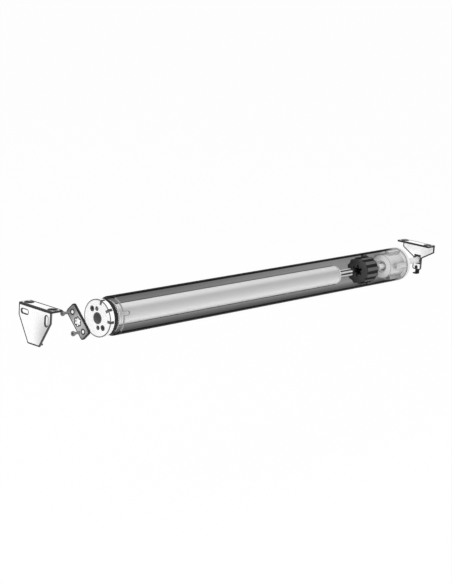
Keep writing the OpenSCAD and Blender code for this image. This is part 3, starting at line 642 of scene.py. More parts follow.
@dataclass(frozen=True)
class RoundBands(Finish):
    """A round skin whose painted light and shade run from the upper edge to the lower edge of the
    side at the front angle.

    The place across the skin is measured square to the front angle, from -1 to 1. Each stop is
    such a place and its tone.
    """

    roughness: float = 0.355
    gloss_swing: float = 0.15
    metallic: float = 0.0
    stops: tuple[Pair, ...] = ()
    front_angle: float = 70.6
    streak_size: float = 0.6
    streak_range: Pair = (0.35, 0.75)
    streak_share: float = 0.05
    streak_colour: Colour = display(150)
    streak_depth: float = 0.004

    def around(self, board: Board) -> tuple[Signal, Signal, Signal, Signal]:
        """Measures where a point is on the skin.

        Args:
            board: The board to draw on.

        Returns:
            The point's X, its radius, its place across and how far it faces the front.
        """
        along, across, up = board.place()
        radius = board.radius(across, up)
        outward, aside = board.toward(across, up, self.front_angle)
        return (along, radius, -aside / radius, outward / radius)

    def bands(self, board: Board, below: Signal) -> Signal:
        """Runs through the painted tones of light and shade by the place across, from -1 to 1."""
        tones = [((place + 1) / 2, display(tone)) for place, tone in self.stops]
        return board.node("ShaderNodeValToRGB", {"stops": tones}, {0: below * 0.5 + 0.5})

    def streaks(self, board: Board) -> Signal:
        """Noise about 0.5 that is drawn out along the tube."""
        return board.noise(self.streak_size, brushing=Brushing.ALONG_TUBE)

    def streaked(self, board: Board, streaks: Signal, tone: Signal) -> Signal:
        """Mixes the streaks' colour into a tone."""
        share = streaks.spread(*self.streak_range) * self.streak_share
        return board.mix(share, tone, self.streak_colour)

    def paint(self, board: Board) -> None:
        """Draws the painted bands of light and shade with fine lengthwise streaks.

        Args:
            board: The board to draw on.
        """
        below = self.around(board)[2]
        streaks = self.streaks(board)
        board.surface(
            Base_Color=self.streaked(board, streaks, self.bands(board, below)),
            Metallic=self.metallic,
            Roughness=streaks.about(self.roughness, self.gloss_swing),
            Normal=board.bump(streaks, self.streak_depth),
        )


@dataclass(frozen=True)
class TubeWall(RoundBands):
    """Dark anodised tube, clear over the side that the photograph looks into.

    The photograph's shades of its inside are light that the wall gives off. Its outside has none.
    A corner is given by its length along the tube and its share of the way across.
    """

    roughness: float = 0.6
    gloss_swing: float = 0.2
    streak_size: float = 0.8
    streak_share: float = 0.06
    streak_colour: Colour = display(170)
    ends: Pair = span("roller_tube")
    clear_to: float = 0.93
    edge_width: float = 0.02
    mid_wall_radius: float = 24.2
    rim_line: float = 1.6
    corner: Pair = (9.0, 0.17)
    fade_length: float = 21.5
    fade_share: float = 0.6
    notch_angle: float = 71.0
    notch_width: float = 4.0
    notch_length: float = 10.0
    notch_line: float = 1.3
    line_alpha: float = 0.85
    inner_light: float = 0.9
    gloss: float = 0.12
    lifted: Colour = display(170)
    lift_share: float = 0.35
    lift_across: Pair = (0.4, -0.3)
    faded: Colour = display(215)
    ink: Colour = display(8)
    skin_dark: Colour = display(10)
    skin_light: Colour = display(22)
    skin_streak: float = 0.5
    skin_faded: Colour = display(200)
    skin_fade: float = 0.7
    line_colour: Colour = display(150)
    lit_far_line_colour: Colour = display(196)
    inner_colour: Colour = display(60)

    def paint(self, board: Board) -> None:
        """Draws the clear side, its dark borders and the opaque rest.

        Args:
            board: The board to draw on.
        """
        along, radius, below, ahead = self.around(board)
        start, end = self.ends
        cut_wall = board.faces(X)
        far_line = along > end - self.rim_line
        line = self.notch_edge(board, along).most(cut_wall)
        line = line.most(along < start + self.rim_line).most(far_line)
        length, share = self.corner
        corner = ((along - start) / length + (1.0 - abs(below)) / share) < 1.0
        front = ahead > 0.0
        clear = (abs(below) < self.clear_to) * front
        inner = (radius < self.mid_wall_radius) * (1.0 - cut_wall) * (1.0 - clear)
        fade = along.rise(end - self.fade_length, end)
        streaks = self.streaks(board)
        fine = streaks.spread(*self.streak_range) * self.skin_streak
        skin = board.mix(fine, self.skin_dark, self.skin_light)
        skin = board.mix(fade * front * self.skin_fade, skin, self.skin_faded)
        skin = board.mix(line * (1.0 - corner), skin, self.line_colour)
        # Painted light: the far rim line is pale against the shade at that end.
        skin = board.mix(far_line, skin, self.lit_far_line_colour)
        # Painted light and shade of the inside, which the wall gives off.
        light = self.light(board, along, below, fade)
        light = self.streaked(board, streaks, light)
        edge = abs(below).rise(self.clear_to - self.edge_width, self.clear_to)
        light = board.mix(edge * (1.0 - fade), light, self.ink)
        board.surface(
            Base_Color=board.mix(inner, skin, self.inner_colour),
            Emission_Color=board.mix(inner, display(0), light),
            Emission_Strength=self.inner_light,
            Specular_IOR_Level=self.gloss,
            Roughness=streaks.about(self.roughness, self.gloss_swing),
            Alpha=(1.0 - clear).most(line * self.line_alpha).most(corner),
            Normal=board.bump(streaks, self.streak_depth),
        )

    def light(self, board: Board, along: Signal, below: Signal, fade: Signal) -> Signal:
        """Runs through the painted light and shade of the tube's inside, lifted towards the far end
        and the upper side, and paler where it fades.

        Args:
            board: The board to draw on.
            along: The point's X.
            below: The place across, from -1 to 1.
            fade: How far the tube has faded towards its far end.

        Returns:
            The colour of the light that the inside gives off.
        """
        start, end = self.ends
        lift = along.rise(start, end - self.fade_length) * below.rise(*self.lift_across)
        tone = board.mix(lift * self.lift_share, self.bands(board, below), self.lifted)
        return board.mix(fade * self.fade_share, tone, self.faded)

    def notch_edge(self, board: Board, along: Signal) -> Signal:
        """Finds the narrow border round the locating notch.

        Args:
            board: The board to draw on.
            along: The point's X.

        Returns:
            1 on the border and 0 elsewhere.
        """
        across, up = board.place()[1:]
        outward, aside = board.toward(across, up, self.notch_angle)
        half = self.notch_width / 2
        beyond = (along - (self.ends[0] + self.notch_length - half)).most(0.0)
        near = board.radius(aside, beyond) - half < self.notch_line
        return near * (outward > 0.0)


@dataclass(frozen=True)
class SheetPaint(Grained):
    """White powder coat on a bracket, with dark lines along its edges and round its holes.

    Lengths across the sheet are measured from its middle. The flange lies over the plate, whose
    side slants from a high point to a low one, each given by its half width and its height.
    """

    cloud_size: float = 3.0
    grain_size: float = 0.9
    grain_depth: float = 0.008
    bracket: str = ""
    colour: Colour = display(246)
    shade: Colour = display(180)
    shade_across: Pair = (6.0, -24.0)
    shade_up: Pair = (34.0, -4.0)
    ink: Colour = display(14)
    line_colour: Colour = display(44)
    line: float = 1.9
    cut_share: float = 0.9
    flange_thickness: float = 2.7
    flange_border: float = 3.0
    side_border: float = 1.6
    hole_pitch: float = 42.0
    hole_ring: float = 6.2
    hole_core: float = 2.5
    slant: tuple[Pair, Pair] = ((29.0, 13.0), (10.5, -19.0))
    foot_half: float = 29.0
    painted_glow: float = 0.0

    def paint(self, board: Board) -> None:
        """Draws orange peel, a soft painted shade to one side, the dark lines and any painted glow.

        Args:
            board: The board to draw on.
        """
        along, across, up = board.place()
        flange = up > span(self.bracket, Z)[1] - self.flange_thickness
        plate = 1.0 - flange
        flat = board.faces(X)
        ink = flange * self.flange_ink(board, along, across).most(1.0 - board.faces(Z))
        lines = plate * flat * self.plate_lines(board, across, up)
        cut_edge = plate * (1.0 - flat)
        shade = across.rise(*self.shade_across) * up.rise(*self.shade_up)
        face = board.mix(shade, self.colour, self.shade)
        face = board.mix(lines.most(cut_edge * self.cut_share), face, self.line_colour)
        face = board.mix(ink, face, self.ink)
        board.surface(
            Base_Color=face,
            Emission_Color=face,
            Emission_Strength=self.painted_glow,
            Roughness=self.rough(self.clouds(board)),
            Normal=self.grain(board),
        )

    def flange_ink(self, board: Board, along: Signal, across: Signal) -> Signal:
        """Finds the flange's black border and the black rings round its two holes.

        Args:
            board: The board to draw on.
            along: The point's X.
            across: The point's Y.

        Returns:
            1 where it is black and 0 elsewhere.
        """
        start, end = span(self.bracket)
        past = along - (start + end) / 2
        aside = abs(across)
        hole = board.radius(past, aside - self.hole_pitch / 2)
        ring = (hole < self.hole_ring) * (hole > self.hole_core)
        edge = abs(past) > (end - start) / 2 - self.flange_border
        return ring.most(edge).most(aside > span(self.bracket, Y)[1] - self.side_border)

    def plate_lines(self, board: Board, across: Signal, up: Signal) -> Signal:
        """Finds the dark lines along the plate's outline.

        Args:
            board: The board to draw on.
            across: The point's Y.
            up: The point's Z.

        Returns:
            1 on a line and 0 elsewhere.
        """
        aside = abs(across)
        (high_y, high_z), (low_y, low_z) = self.slant
        run = math.hypot(high_y - low_y, high_z - low_z)
        slanted = ((high_y - aside) * (high_z - low_z) + (up - high_z) * (high_y - low_y)) / run
        wings = (span(self.bracket, Y)[1] - aside).least(slanted)
        foot = (self.foot_half - aside).least(up - span(self.bracket, Z)[0])
        return self.inside(wings, foot) < self.line

    def inside(self, wings: Signal, foot: Signal) -> Signal:
        """How far inside the plate a point is, from its wings and its foot."""
        return wings.least(foot)


@dataclass(frozen=True)
class SlottedPaint(SheetPaint):
    """Paint of the bracket with one wall slot across and one upright.

    A slot is given by its middle's Y and Z.
    """

    slot_across: Pair = (18.0, 18.5)
    slot_upright: Pair = (-21.0, 15.0)
    slot_half: float = 3.85
    slot_radius: float = 2.4
    slot_line: float = 1.3

    def plate_lines(self, board: Board, across: Signal, up: Signal) -> Signal:
        """Adds the rings round the two slots to the plate's lines.

        Args:
            board: The board to draw on.
            across: The point's Y.
            up: The point's Z.

        Returns:
            1 on a line and 0 elsewhere.
        """
        y, z = self.slot_across
        level = board.bar(across - y, up - z, self.slot_half, self.slot_radius)
        y, z = self.slot_upright
        upright = board.bar(up - z, across - y, self.slot_half, self.slot_radius)
        return super().plate_lines(board, across, up).most(level.least(upright) < self.slot_line)


@dataclass(frozen=True)
class TonguePaint(SheetPaint):
    """Paint of the bracket with a tongue below its wings and a window in the tongue."""

    slant: tuple[Pair, Pair] = ((29.0, 16.0), (7.8, 3.6))
    foot_half: float = 7.8
    window_half: float = 4.25
    window_low: float = -4.1
    window_high: float = 6.85

    def inside(self, wings: Signal, foot: Signal) -> Signal:
        """How far inside the plate a point is, from its wings or its tongue."""
        return wings.most(foot)

    def plate_lines(self, board: Board, across: Signal, up: Signal) -> Signal:
        """Adds the ring round the window to the plate's lines."""
        gap = (abs(across) - self.window_half).most(self.window_low - up).most(up - self.window_high)
        return super().plate_lines(board, across, up).most(gap < self.line)


@dataclass(frozen=True)
class IdlerPlastic(Grained, RoundBands):
    """Milky plastic of the idler, with painted light and shade, a painted glow, and lines along its
    ribs and its edges.
    """

    roughness: float = 0.28
    gloss_swing: float = 0.12
    grain_depth: float = 0.006
    face: Colour = display(210)
    dish: Colour = display(206)
    flange: Colour = display(200)
    line_colour: Colour = display(140)
    line: float = 1.0
    line_share: float = 0.8
    start: float = span("idler_body")[0]
    face_depth: float = 0.1
    flange_start: float = span("roller_tube")[1]
    flange_lead: float = 0.05
    dish_radius: float = 8.05
    barrel_radius: float = 18.0
    rib_lead: float = 7.0
    rib_half: float = 4.0
    rib_turn: float = 8.0
    ribs: int = 5
    painted_glow: float = 0.26

    def paint(self, board: Board) -> None:
        """Draws the painted tones of light and shade of the face, the barrel, the dish and the
        flange, and the lines.

        Args:
            board: The board to draw on.
        """
        along, radius, below = self.around(board)[:3]
        front = along < self.start + self.face_depth
        # Painted light and shade: the barrel's bands and separate lit tones for the face, the dish
        # and the flange.
        tone = board.mix(front, self.bands(board, below), self.face)
        tone = board.mix((radius < self.dish_radius) * (1.0 - front), tone, self.dish)
        tone = board.mix(along > self.flange_start - self.flange_lead, tone, self.flange)
        rim = radius > self.barrel_radius - self.line
        lines = front * rim.most(radius < self.dish_radius + self.line)
        lines = lines.most(self.rib_lines(board, along))
        tone = board.mix(lines * self.line_share, tone, self.line_colour)
        board.surface(
            Base_Color=tone,
            Emission_Color=tone,
            Emission_Strength=self.painted_glow,
            Roughness=self.rough(self.clouds(board)),
            Normal=self.grain(board),
        )

    def rib_lines(self, board: Board, along: Signal) -> Signal:
        """Finds the dark lines along both sides of each rib and across its end.

        Args:
            board: The board to draw on.
            along: The point's X.

        Returns:
            1 on a line and 0 elsewhere.
        """
        across, up = board.place()[1:]
        half_line = self.line / 2
        past = along - (self.start + self.rib_lead)
        end = abs(past) < half_line
        found = past * 0.0
        for rib in range(self.ribs):
            outward, aside = board.toward(across, up, self.rib_turn + rib * 360 / self.ribs)
            side = abs(abs(aside) - self.rib_half) < half_line
            across_end = end * (abs(aside) < self.rib_half)
            found = found.most(side.most(across_end) * (outward > 0.0))
        return found * (past > -half_line) * (along < self.flange_start)


@dataclass(frozen=True)
class BrushedPlate(Metal):
    """Brushed steel plate that lies at a slant, black along its outline and round its holes."""

    roughness: float = 0.45
    colour: Colour = display(184)
    streak: float = 0.35
    streak_size: float = 1 / 2.2
    streak_depth: float = 0.008
    streak_length: float = 0.03
    metallic: float = 0.3
    shaded_ends_colour: Colour = display(96)
    bright_place: float = -3.0
    bright_reach: Pair = (21.0, 4.0)
    scratch: Colour = display(205)
    ink: Colour = display(20)
    painted_bore_light: Colour = display(250)
    slant: float = -45.0
    length: float = 44.0
    width: float = 18.6
    corner: float = 3.5
    outline: float = 1.5
    hole_place: float = 14.5
    hole_radius: float = 2.35
    hole_ring: float = 4.0
    star_radius: float = 5.4
    star_core: float = 3.7
    star_lobe: float = 2.6
    star_ring: float = 1.4
    star_inset: float = 0.15
    star_turn: float = 45.0
    star_bars: int = 3

    def streaks(self, board: Board) -> Signal:
        """Noise that is drawn out along the slanted plate.

        Args:
            board: The board to draw on.

        Returns:
            The noise, about 0.5.
        """
        along, across, up = board.place()
        lengthwise, crosswise = board.toward(across, up, self.slant)
        sockets = {X: along, Y: crosswise, Z: lengthwise * self.streak_length}
        point = board.node("ShaderNodeCombineXYZ", {}, sockets)
        return board.noise(self.streak_size, self.streak_detail, point=point)

    def tone(self, board: Board, streaks: Signal) -> Signal:
        """Draws the brushing, a soft painted sheen in the middle with painted shade towards the
        ends, and the black lines.

        Args:
            board: The board to draw on.
            streaks: Noise about 0.5 that is drawn out along the plate.

        Returns:
            The plate's colour.
        """
        across, up = board.place()[1:]
        lengthwise, crosswise = board.toward(across, up, self.slant)
        # Painted sheen in the middle of the plate, with painted shade towards its ends.
        bright = abs(lengthwise - self.bright_place).rise(*self.bright_reach)
        face = board.mix(bright, self.shaded_ends_colour, self.colour)
        face = board.mix(streaks.spread() * self.streak, face, self.scratch)
        hole = board.radius(abs(lengthwise) - self.hole_place, crosswise)
        star = self.star(board, lengthwise, crosswise)
        lines = (hole < self.hole_ring).most(star < self.star_ring).most(1.0 - board.faces(X))
        lines = lines.most(self.inset(board, lengthwise, crosswise) < self.outline)
        # The holes' bores are painted near white, as the light seen through them.
        painted_bore_light = (hole < self.hole_radius).most(star < self.star_inset)
        return board.mix(painted_bore_light, board.mix(lines, face, self.ink), self.painted_bore_light)

    def inset(self, board: Board, lengthwise: Signal, crosswise: Signal) -> Signal:
        """Measures how far inside the plate's outline a point is.

        Args:
            board: The board to draw on.
            lengthwise: The place along the plate.
            crosswise: The place across the plate.

        Returns:
            The distance.
        """
        beyond = (abs(lengthwise) - (self.length / 2 - self.corner)).most(0.0)
        aside = (abs(crosswise) - (self.width / 2 - self.corner)).most(0.0)
        return self.corner - board.radius(beyond, aside)

    def star(self, board: Board, lengthwise: Signal, crosswise: Signal) -> Signal:
        """Measures from the outline of the star hole, as crossed bars on a disc.

        Args:
            board: The board to draw on.
            lengthwise: The place along the plate.
            crosswise: The place across the plate.

        Returns:
            The distance, which is negative inside.
        """
        found = board.radius(lengthwise, crosswise) - self.star_core
        round_radius = self.star_lobe / 2
        for bar in range(self.star_bars):
            turn = self.star_turn + bar * 180 / self.star_bars
            outward, aside = board.toward(crosswise, lengthwise, turn)
            reach = self.star_radius - round_radius
            found = found.least(board.bar(outward, aside, reach, round_radius))
        return found


@dataclass(frozen=True)
class BoardLaminate(Clouded):
    """Green circuit board with lighter tracks under its mask."""

    roughness: float = 0.35
    gloss_swing: float = 0.1
    cloud_size: float = 2.0
    mask: Colour = display(14, 84, 44)
    track: Colour = display(48, 128, 72)
    cell: float = 4.0
    track_share: float = 0.05
    track_depth: float = 0.03

    def paint(self, board: Board) -> None:
        """Draws the tracks as the borders of square cells.

        Args:
            board: The board to draw on.
        """
        cells = board.node(
            "ShaderNodeTexVoronoi",
            {"feature": "DISTANCE_TO_EDGE", "distance": "MANHATTAN"},
            {"Vector": board.position(), "Scale": 1 / self.cell},
            "Distance",
        )
        track = cells < self.track_share
        board.surface(
            Base_Color=board.mix(track, self.mask, self.track),
            Roughness=self.rough(self.clouds(board)),
            Normal=board.bump(track, self.track_depth),
        )


@dataclass(frozen=True)
class Wound(Clouded):
    """Enamelled copper wire, wound turn on turn."""

    roughness: float = 0.35
    gloss_swing: float = 0.2
    cloud_size: float = 2.0
    metallic: float = 0.8
    gap: Colour = display(112, 48, 20)
    copper: Colour = display(206, 122, 66)
    phase_per_mm: float = 12.0
    turn_depth: float = 0.12

    def paint(self, board: Board) -> None:
        """Draws the turns as fine ridges.

        Args:
            board: The board to draw on.
        """
        along, across = board.place()[:2]
        turns = board.maths("SINE", (along + across) * self.phase_per_mm, 0.0) * 0.5 + 0.5
        board.surface(
            Base_Color=board.mix(turns, self.gap, self.copper),
            Metallic=self.metallic,
            Roughness=self.rough(self.clouds(board)),
            Normal=board.bump(turns, self.turn_depth),
        )


@dataclass(frozen=True)
class Glow(Finish):
    """Stage surface that looks white to the camera and still takes a faint shadow."""

    colour: Colour = display(252)
    shadow: float = 0.04

    def paint(self, board: Board) -> None:
        """Mixes a plain surface with white light for what the camera, mirrors and glass see.

        Args:
            board: The board to draw on.
        """
        rays = board.node("ShaderNodeLightPath")
        seen = rays.sibling("Is Camera Ray").most(rays.sibling("Is Glossy Ray"))
        seen = seen.most(rays.sibling("Is Transmission Ray"))
        plain = board.node("ShaderNodeBsdfDiffuse", {}, {"Color": self.colour})
        white = board.node("ShaderNodeEmission", {}, {"Color": display(255), "Strength": 1.0})
        share = seen * (1.0 - self.shadow)
        board.show(board.node("ShaderNodeMixShader", {}, {0: share, 1: plain, 2: white}))


WHITE_HEAD = HeadPlastic("white head plastic")
WHITE_COLLAR = GroovedPlastic("white collar plastic")
HEAD_LINE = Moulded("grey edge line", colour=display(104), roughness=0.5)
BLACK_NYLON = Moulded("black nylon", colour=display(24), blotch=0.25, gloss=0.3)
BLACK_EDGE = Moulded("black edge", colour=display(12), roughness=0.5, gloss=0.2)
WHEEL_NYLON = KeyedNylon("wheel nylon", colour=display(76), roughness=0.6, blotch=0.15, gloss=0.12)
WHEEL_EDGE = Moulded("wheel edge", colour=display(18), roughness=0.6, gloss=0.1)
# The socket and the button get a painted glow.
SOCKET_NYLON = Moulded("socket nylon", colour=display(84), roughness=0.5, gloss=0.2, painted_glow=0.4)
BUTTON_RUBBER = Moulded("button rubber", colour=display(92), roughness=0.6, gloss=0.2, painted_glow=0.3)
INSERT_STEEL = Metal("insert steel", colour=display(86), roughness=0.5, metallic=0.1, gloss=0.2)
ZINC = Metal("zinc plate", colour=display(190, 190, 184), roughness=0.3)
SCREW_ZINC = Metal("screw zinc", colour=display(128), roughness=0.42, metallic=0.5)
GROUND_STEEL = Metal("ground steel", colour=display(186), brushing=Brushing.ALONG_TUBE)
SHAFT_STEEL = FlutedSteel("shaft steel")
CAN_STEEL = Metal("can steel", colour=display(172, 172, 166), roughness=0.38)
BRONZE = Metal("sintered bronze", colour=display(176, 132, 76), roughness=0.45)
BRASS = Metal("hobbed brass", colour=display(206, 168, 96), roughness=0.28)
COMMUTATOR_COPPER = Metal("commutator copper", colour=display(196, 116, 72), roughness=0.3)
SINTERED_STEEL = Metal("sintered steel", colour=display(150, 147, 140), roughness=0.5)
DIE_CAST = Metal("die cast zinc", colour=display(150, 152, 154), roughness=0.55, metallic=0.6)
CORE_STEEL = Metal("laminated core", colour=display(120, 122, 126), roughness=0.5)
WINDING = Wound("enamelled winding")
FERRITE = Moulded("ferrite", colour=display(70, 70, 74), roughness=0.7, grain_size=0.2)
CARBON = Moulded("carbon brush", colour=display(46), roughness=0.55)
IVORY = Moulded("brush holder plastic", colour=display(218, 210, 188), roughness=0.5)
ACETAL = Moulded("acetal gear", colour=display(228, 222, 202), roughness=0.35)
FIBRE = Moulded("brake lining fibre", colour=display(132, 98, 66), roughness=0.85, grain_size=0.4)
RUBBER = Moulded("damper rubber", colour=display(34), roughness=0.75)
LAMINATE = BoardLaminate("green laminate")
PACKAGE = Moulded("moulded package", colour=display(40, 40, 43), roughness=0.55)
CRADLE = Moulded("cradle plastic", colour=display(62, 62, 66), roughness=0.55)
CELL_WRAP = Moulded("cell wrap", colour=display(52, 104, 150), roughness=0.28, grain_size=0.6)
LEAD_RED = Moulded("lead insulation", colour=display(176, 30, 26), roughness=0.4)
CAP_PLASTIC = Moulded("end cap plastic", colour=display(206))
CAP_LINE = Moulded("end cap line", colour=display(60), roughness=0.5, gloss=0.2)
# Painted light and shade across the idler's barrel.
IDLER_PLASTIC = IdlerPlastic(
    "idler plastic",
    stops=((-1.0, 140), (-0.8, 188), (-0.4, 176), (0.0, 156), (0.3, 182), (0.65, 184), (1.0, 120)),
)
# Painted highlight along the idler's broken edges.
IDLER_EDGE_HIGHLIGHT = Moulded("idler edge highlight", colour=display(226), roughness=0.3)
PIN_PLASTIC = Moulded("pin plastic", colour=display(224), roughness=0.35)
LEFT_PAINT = SlottedPaint("left bracket paint", bracket="left_bracket")
# The right bracket gets a painted glow against the shade under its flange.
RIGHT_PAINT = TonguePaint("right bracket paint", bracket="right_bracket", painted_glow=0.22)
PLATE_STEEL = BrushedPlate("brushed plate")
# Painted reflections and shade across the housing, with dark lines at both edges: a bright band near
# each edge and a shaded dip just above the middle.
HOUSING = RoundBands(
    "housing skin",
    stops=(
        (-1.0, 50),
        (-0.95, 66),
        (-0.92, 255),
        (-0.8, 236),
        (-0.7, 217),
        (-0.5, 192),
        (-0.35, 166),
        (-0.2, 160),
        (0.0, 167),
        (0.2, 184),
        (0.4, 200),
        (0.6, 222),
        (0.78, 252),
        (0.93, 255),
        (0.96, 66),
        (1.0, 50),
    ),
    metallic=0.1,
)
# Tones of the painted light and shade inside the tube, lightest just below the motor.
TUBE = TubeWall(
    "tube wall",
    stops=((-0.93, 102), (-0.6, 122), (0.0, 130), (0.56, 146), (0.72, 112), (0.86, 76), (0.97, 60)),
)


def plain_normals() -> bpy.types.NodeTree:
    """Makes the tree of a modifier that shows a mesh without its stored normals.

    Returns:
        The tree, made when it is first asked for.
    """
    name = "plain normals"
    tree = bpy.data.node_groups.get(name)
    if tree is None:
        tree = bpy.data.node_groups.new(name, "GeometryNodeTree")
        for way in ("INPUT", "OUTPUT"):
            tree.interface.new_socket("Geometry", in_out=way, socket_type="NodeSocketGeometry")
        board = Board(tree)
        sockets = {"Geometry": board.node("NodeGroupInput"), "Name": "custom_normal"}
        plain = board.node("GeometryNodeRemoveAttribute", {}, sockets)
        board.node("NodeGroupOutput", {}, {"Geometry": plain})
    return tree


@dataclass(frozen=True)
class Edges:
    """How a piece's sharp edges are broken, and what the broken edges are painted with."""

    width: float
    segments: int = 2
    paint: Finish | None = None
    sharp_from: float = 35.0
    flat_within: float = 0.5
    weld_within: float = 0.001

    def cut(self, piece: bpy.types.Object) -> None:
        """Adds the modifiers that merge flat faces and break the edges. The mesh stays as it is.

        Args:
            piece: A mesh object.
        """
        piece.modifiers.new("plain normals", "NODES").node_group = plain_normals()
        weld = piece.modifiers.new("weld", "WELD")
        weld.merge_threshold = self.weld_within * MM
        flat = piece.modifiers.new("flat", "DECIMATE")
        flat.decimate_type = "DISSOLVE"
        flat.angle_limit = math.radians(self.flat_within)
        bevel = piece.modifiers.new("bevel", "BEVEL")
        bevel.width = self.width * MM
        bevel.segments = self.segments
        bevel.limit_method = "ANGLE"
        bevel.angle_limit = math.radians(self.sharp_from)
        bevel.harden_normals = True
        if self.paint is not None:
            piece.data.materials.append(self.paint.material())
            bevel.material = len(piece.data.materials) - 1


class Assembly:
    """A group of CAD nodes that are dressed together."""

    def dress(self, node: str, finish: Finish, edges: Edges | None = None) -> None:
        """Gives a CAD node its finish and breaks its edges.

        Args:
            node: The node's name.
            finish: What it is made of.
            edges: How its edges are broken, or None where they stay sharp.
        """
        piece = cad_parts[node]
        for slot in piece.material_slots:
            slot.material = finish.material()
        if edges is not None:
            edges.cut(piece)
        LOG.info("dressed %s with %s", node, finish.name)

    def dress_all(self, nodes: tuple[str, ...], finish: Finish, edges: Edges | None = None) -> None:
        """Dresses several nodes alike."""
        for node in nodes:
            self.dress(node, finish, edges)

    def build(self) -> None:
        """Dresses the group's nodes."""
        raise NotImplementedError


@dataclass
class HeadUnit(Assembly):
    """Motor head, its inserts, button and socket, the collar and the crown."""

    rim_edge: float = 0.5
    button_edge: float = 0.4
    small_edge: float = 0.2
    tooth_edge: float = 0.15
    screw_edge: float = 0.12

    def build(self) -> None:
        """Dresses the head's pieces."""
        small = Edges(self.small_edge, segments=1)
        self.dress("motor_head", WHITE_HEAD, Edges(self.rim_edge, paint=HEAD_LINE))
        self.dress("crown_collar", WHITE_COLLAR, Edges(self.small_edge))
        self.dress("crown", BLACK_NYLON, Edges(self.tooth_edge, segments=1))
        self.dress("screw_inserts", INSERT_STEEL, small)
        self.dress("setting_button", BUTTON_RUBBER, Edges(self.button_edge))
        self.dress("charging_socket", SOCKET_NYLON, small)
        self.dress("head_screws", ZINC, Edges(self.screw_edge, segments=1))


@dataclass
class HousingUnit(Assembly):
    """Motor housing with what is sealed in it up to the motor."""

    housing_edge: float = 0.3
    cap_edge: float = 0.8
    package_edge: float = 0.15
    cell_edge: float = 0.5

    def build(self) -> None:
        """Dresses the housing, the electronics and the battery."""
        self.dress("motor_housing", HOUSING, Edges(self.housing_edge))
        self.dress("end_cap", CAP_PLASTIC, Edges(self.cap_edge, segments=3, paint=CAP_LINE))
        self.dress_all(("circuit_board", "encoder_board"), LAMINATE)
        self.dress("board_components", PACKAGE, Edges(self.package_edge, segments=1))
        self.dress("battery_cradle", CRADLE)
        self.dress("battery_cells", CELL_WRAP, Edges(self.cell_edge))
        self.dress("power_leads", LEAD_RED)


@dataclass
class MotorCore(Assembly):
    """The motor itself, its dampers and its brake."""

    can_edge: float = 0.4
    winding_edge: float = 0.5
    turned_edge: float = 0.2

    def build(self) -> None:
        """Dresses the motor's pieces."""
        turned = Edges(self.turned_edge, segments=1)
        self.dress("motor_dampers", RUBBER)
        self.dress("motor_can", CAN_STEEL, Edges(self.can_edge))
        self.dress("field_magnets", FERRITE)
        self.dress("encoder_magnet", FERRITE, Edges(self.turned_edge))
        self.dress("brush_holder", IVORY)
        self.dress("brushes", CARBON)
        self.dress_all(("motor_bushes", "output_bush"), BRONZE, turned)
        self.dress_all(("rotor_shaft", "brake_disc"), GROUND_STEEL, turned)
        self.dress("commutator", COMMUTATOR_COPPER)
        self.dress("armature", CORE_STEEL)
        self.dress("rotor_winding", WINDING, Edges(self.winding_edge))
        self.dress("brake_lining", FIBRE)


@dataclass
class GearTrain(Assembly):
    """The three planetary stages in their ring gear."""

    stages: tuple[str, ...] = ("first", "second", "third")
    planets: str = "abc"

    def build(self) -> None:
        """Dresses the gears and carriers."""
        self.dress_all(("gearbox_plate", "gear_ring"), DIE_CAST)
        self.dress("motor_pinion", BRASS)
        for stage in self.stages:
            self.dress_all(tuple(f"{stage}_planet_{planet}" for planet in self.planets), ACETAL)
        self.dress_all(("first_carrier", "second_carrier", "output_carrier"), SINTERED_STEEL)


@dataclass
class DriveEnd(Assembly):
    """Output shaft with its circlip, and the drive wheel."""

    shaft_edge: float = 0.35
    circlip_edge: float = 0.15
    wheel_edge: float = 0.45

    def build(self) -> None:
        """Dresses the shaft and the wheel."""
        self.dress("output_shaft", SHAFT_STEEL, Edges(self.shaft_edge))
        self.dress("shaft_circlip", GROUND_STEEL, Edges(self.circlip_edge, segments=1))
        self.dress("drive_wheel", WHEEL_NYLON, Edges(self.wheel_edge, paint=WHEEL_EDGE))


@dataclass
class RollerTube(Assembly):
    """The roller tube, whose cut ends stay sharp."""

    def build(self) -> None:
        """Dresses the tube."""
        self.dress("roller_tube", TUBE)


@dataclass
class IdlerEnd(Assembly):
    """Idler with its bushes, sprung pin and circlip."""

    body_edge: float = 0.35
    pin_edge: float = 0.4

    def build(self) -> None:
        """Dresses the idler's pieces."""
        self.dress("idler_body", IDLER_PLASTIC, Edges(self.body_edge, paint=IDLER_EDGE_HIGHLIGHT))
        self.dress("idler_bushes", PIN_PLASTIC)
        self.dress("idler_pin", PIN_PLASTIC, Edges(self.pin_edge))
        self.dress_all(("pin_circlip", "idler_spring"), GROUND_STEEL)


@dataclass
class EndBrackets(Assembly):
    """Both end brackets, the left one's stud and the right one's hook."""

    sheet_edge: float = 0.8
    small_edge: float = 0.3

    def build(self) -> None:
        """Dresses the brackets."""
        sheet = Edges(self.sheet_edge, paint=BLACK_EDGE)
        self.dress("left_bracket", LEFT_PAINT, sheet)
        self.dress("right_bracket", RIGHT_PAINT, sheet)
        self.dress("bracket_stud", ZINC, Edges(self.small_edge))
        self.dress("retaining_hook", BLACK_NYLON, Edges(self.small_edge))


@dataclass
class AdapterSet(Assembly):
    """Adapter plate and its two screws."""

    plate_edge: float = 0.4
    screw_edge: float = 0.3

    def build(self) -> None:
        """Dresses the plate and the screws."""
        self.dress("adapter_plate", PLATE_STEEL, Edges(self.plate_edge, paint=BLACK_EDGE))
        self.dress("plate_screws", SCREW_ZINC, Edges(self.screw_edge))


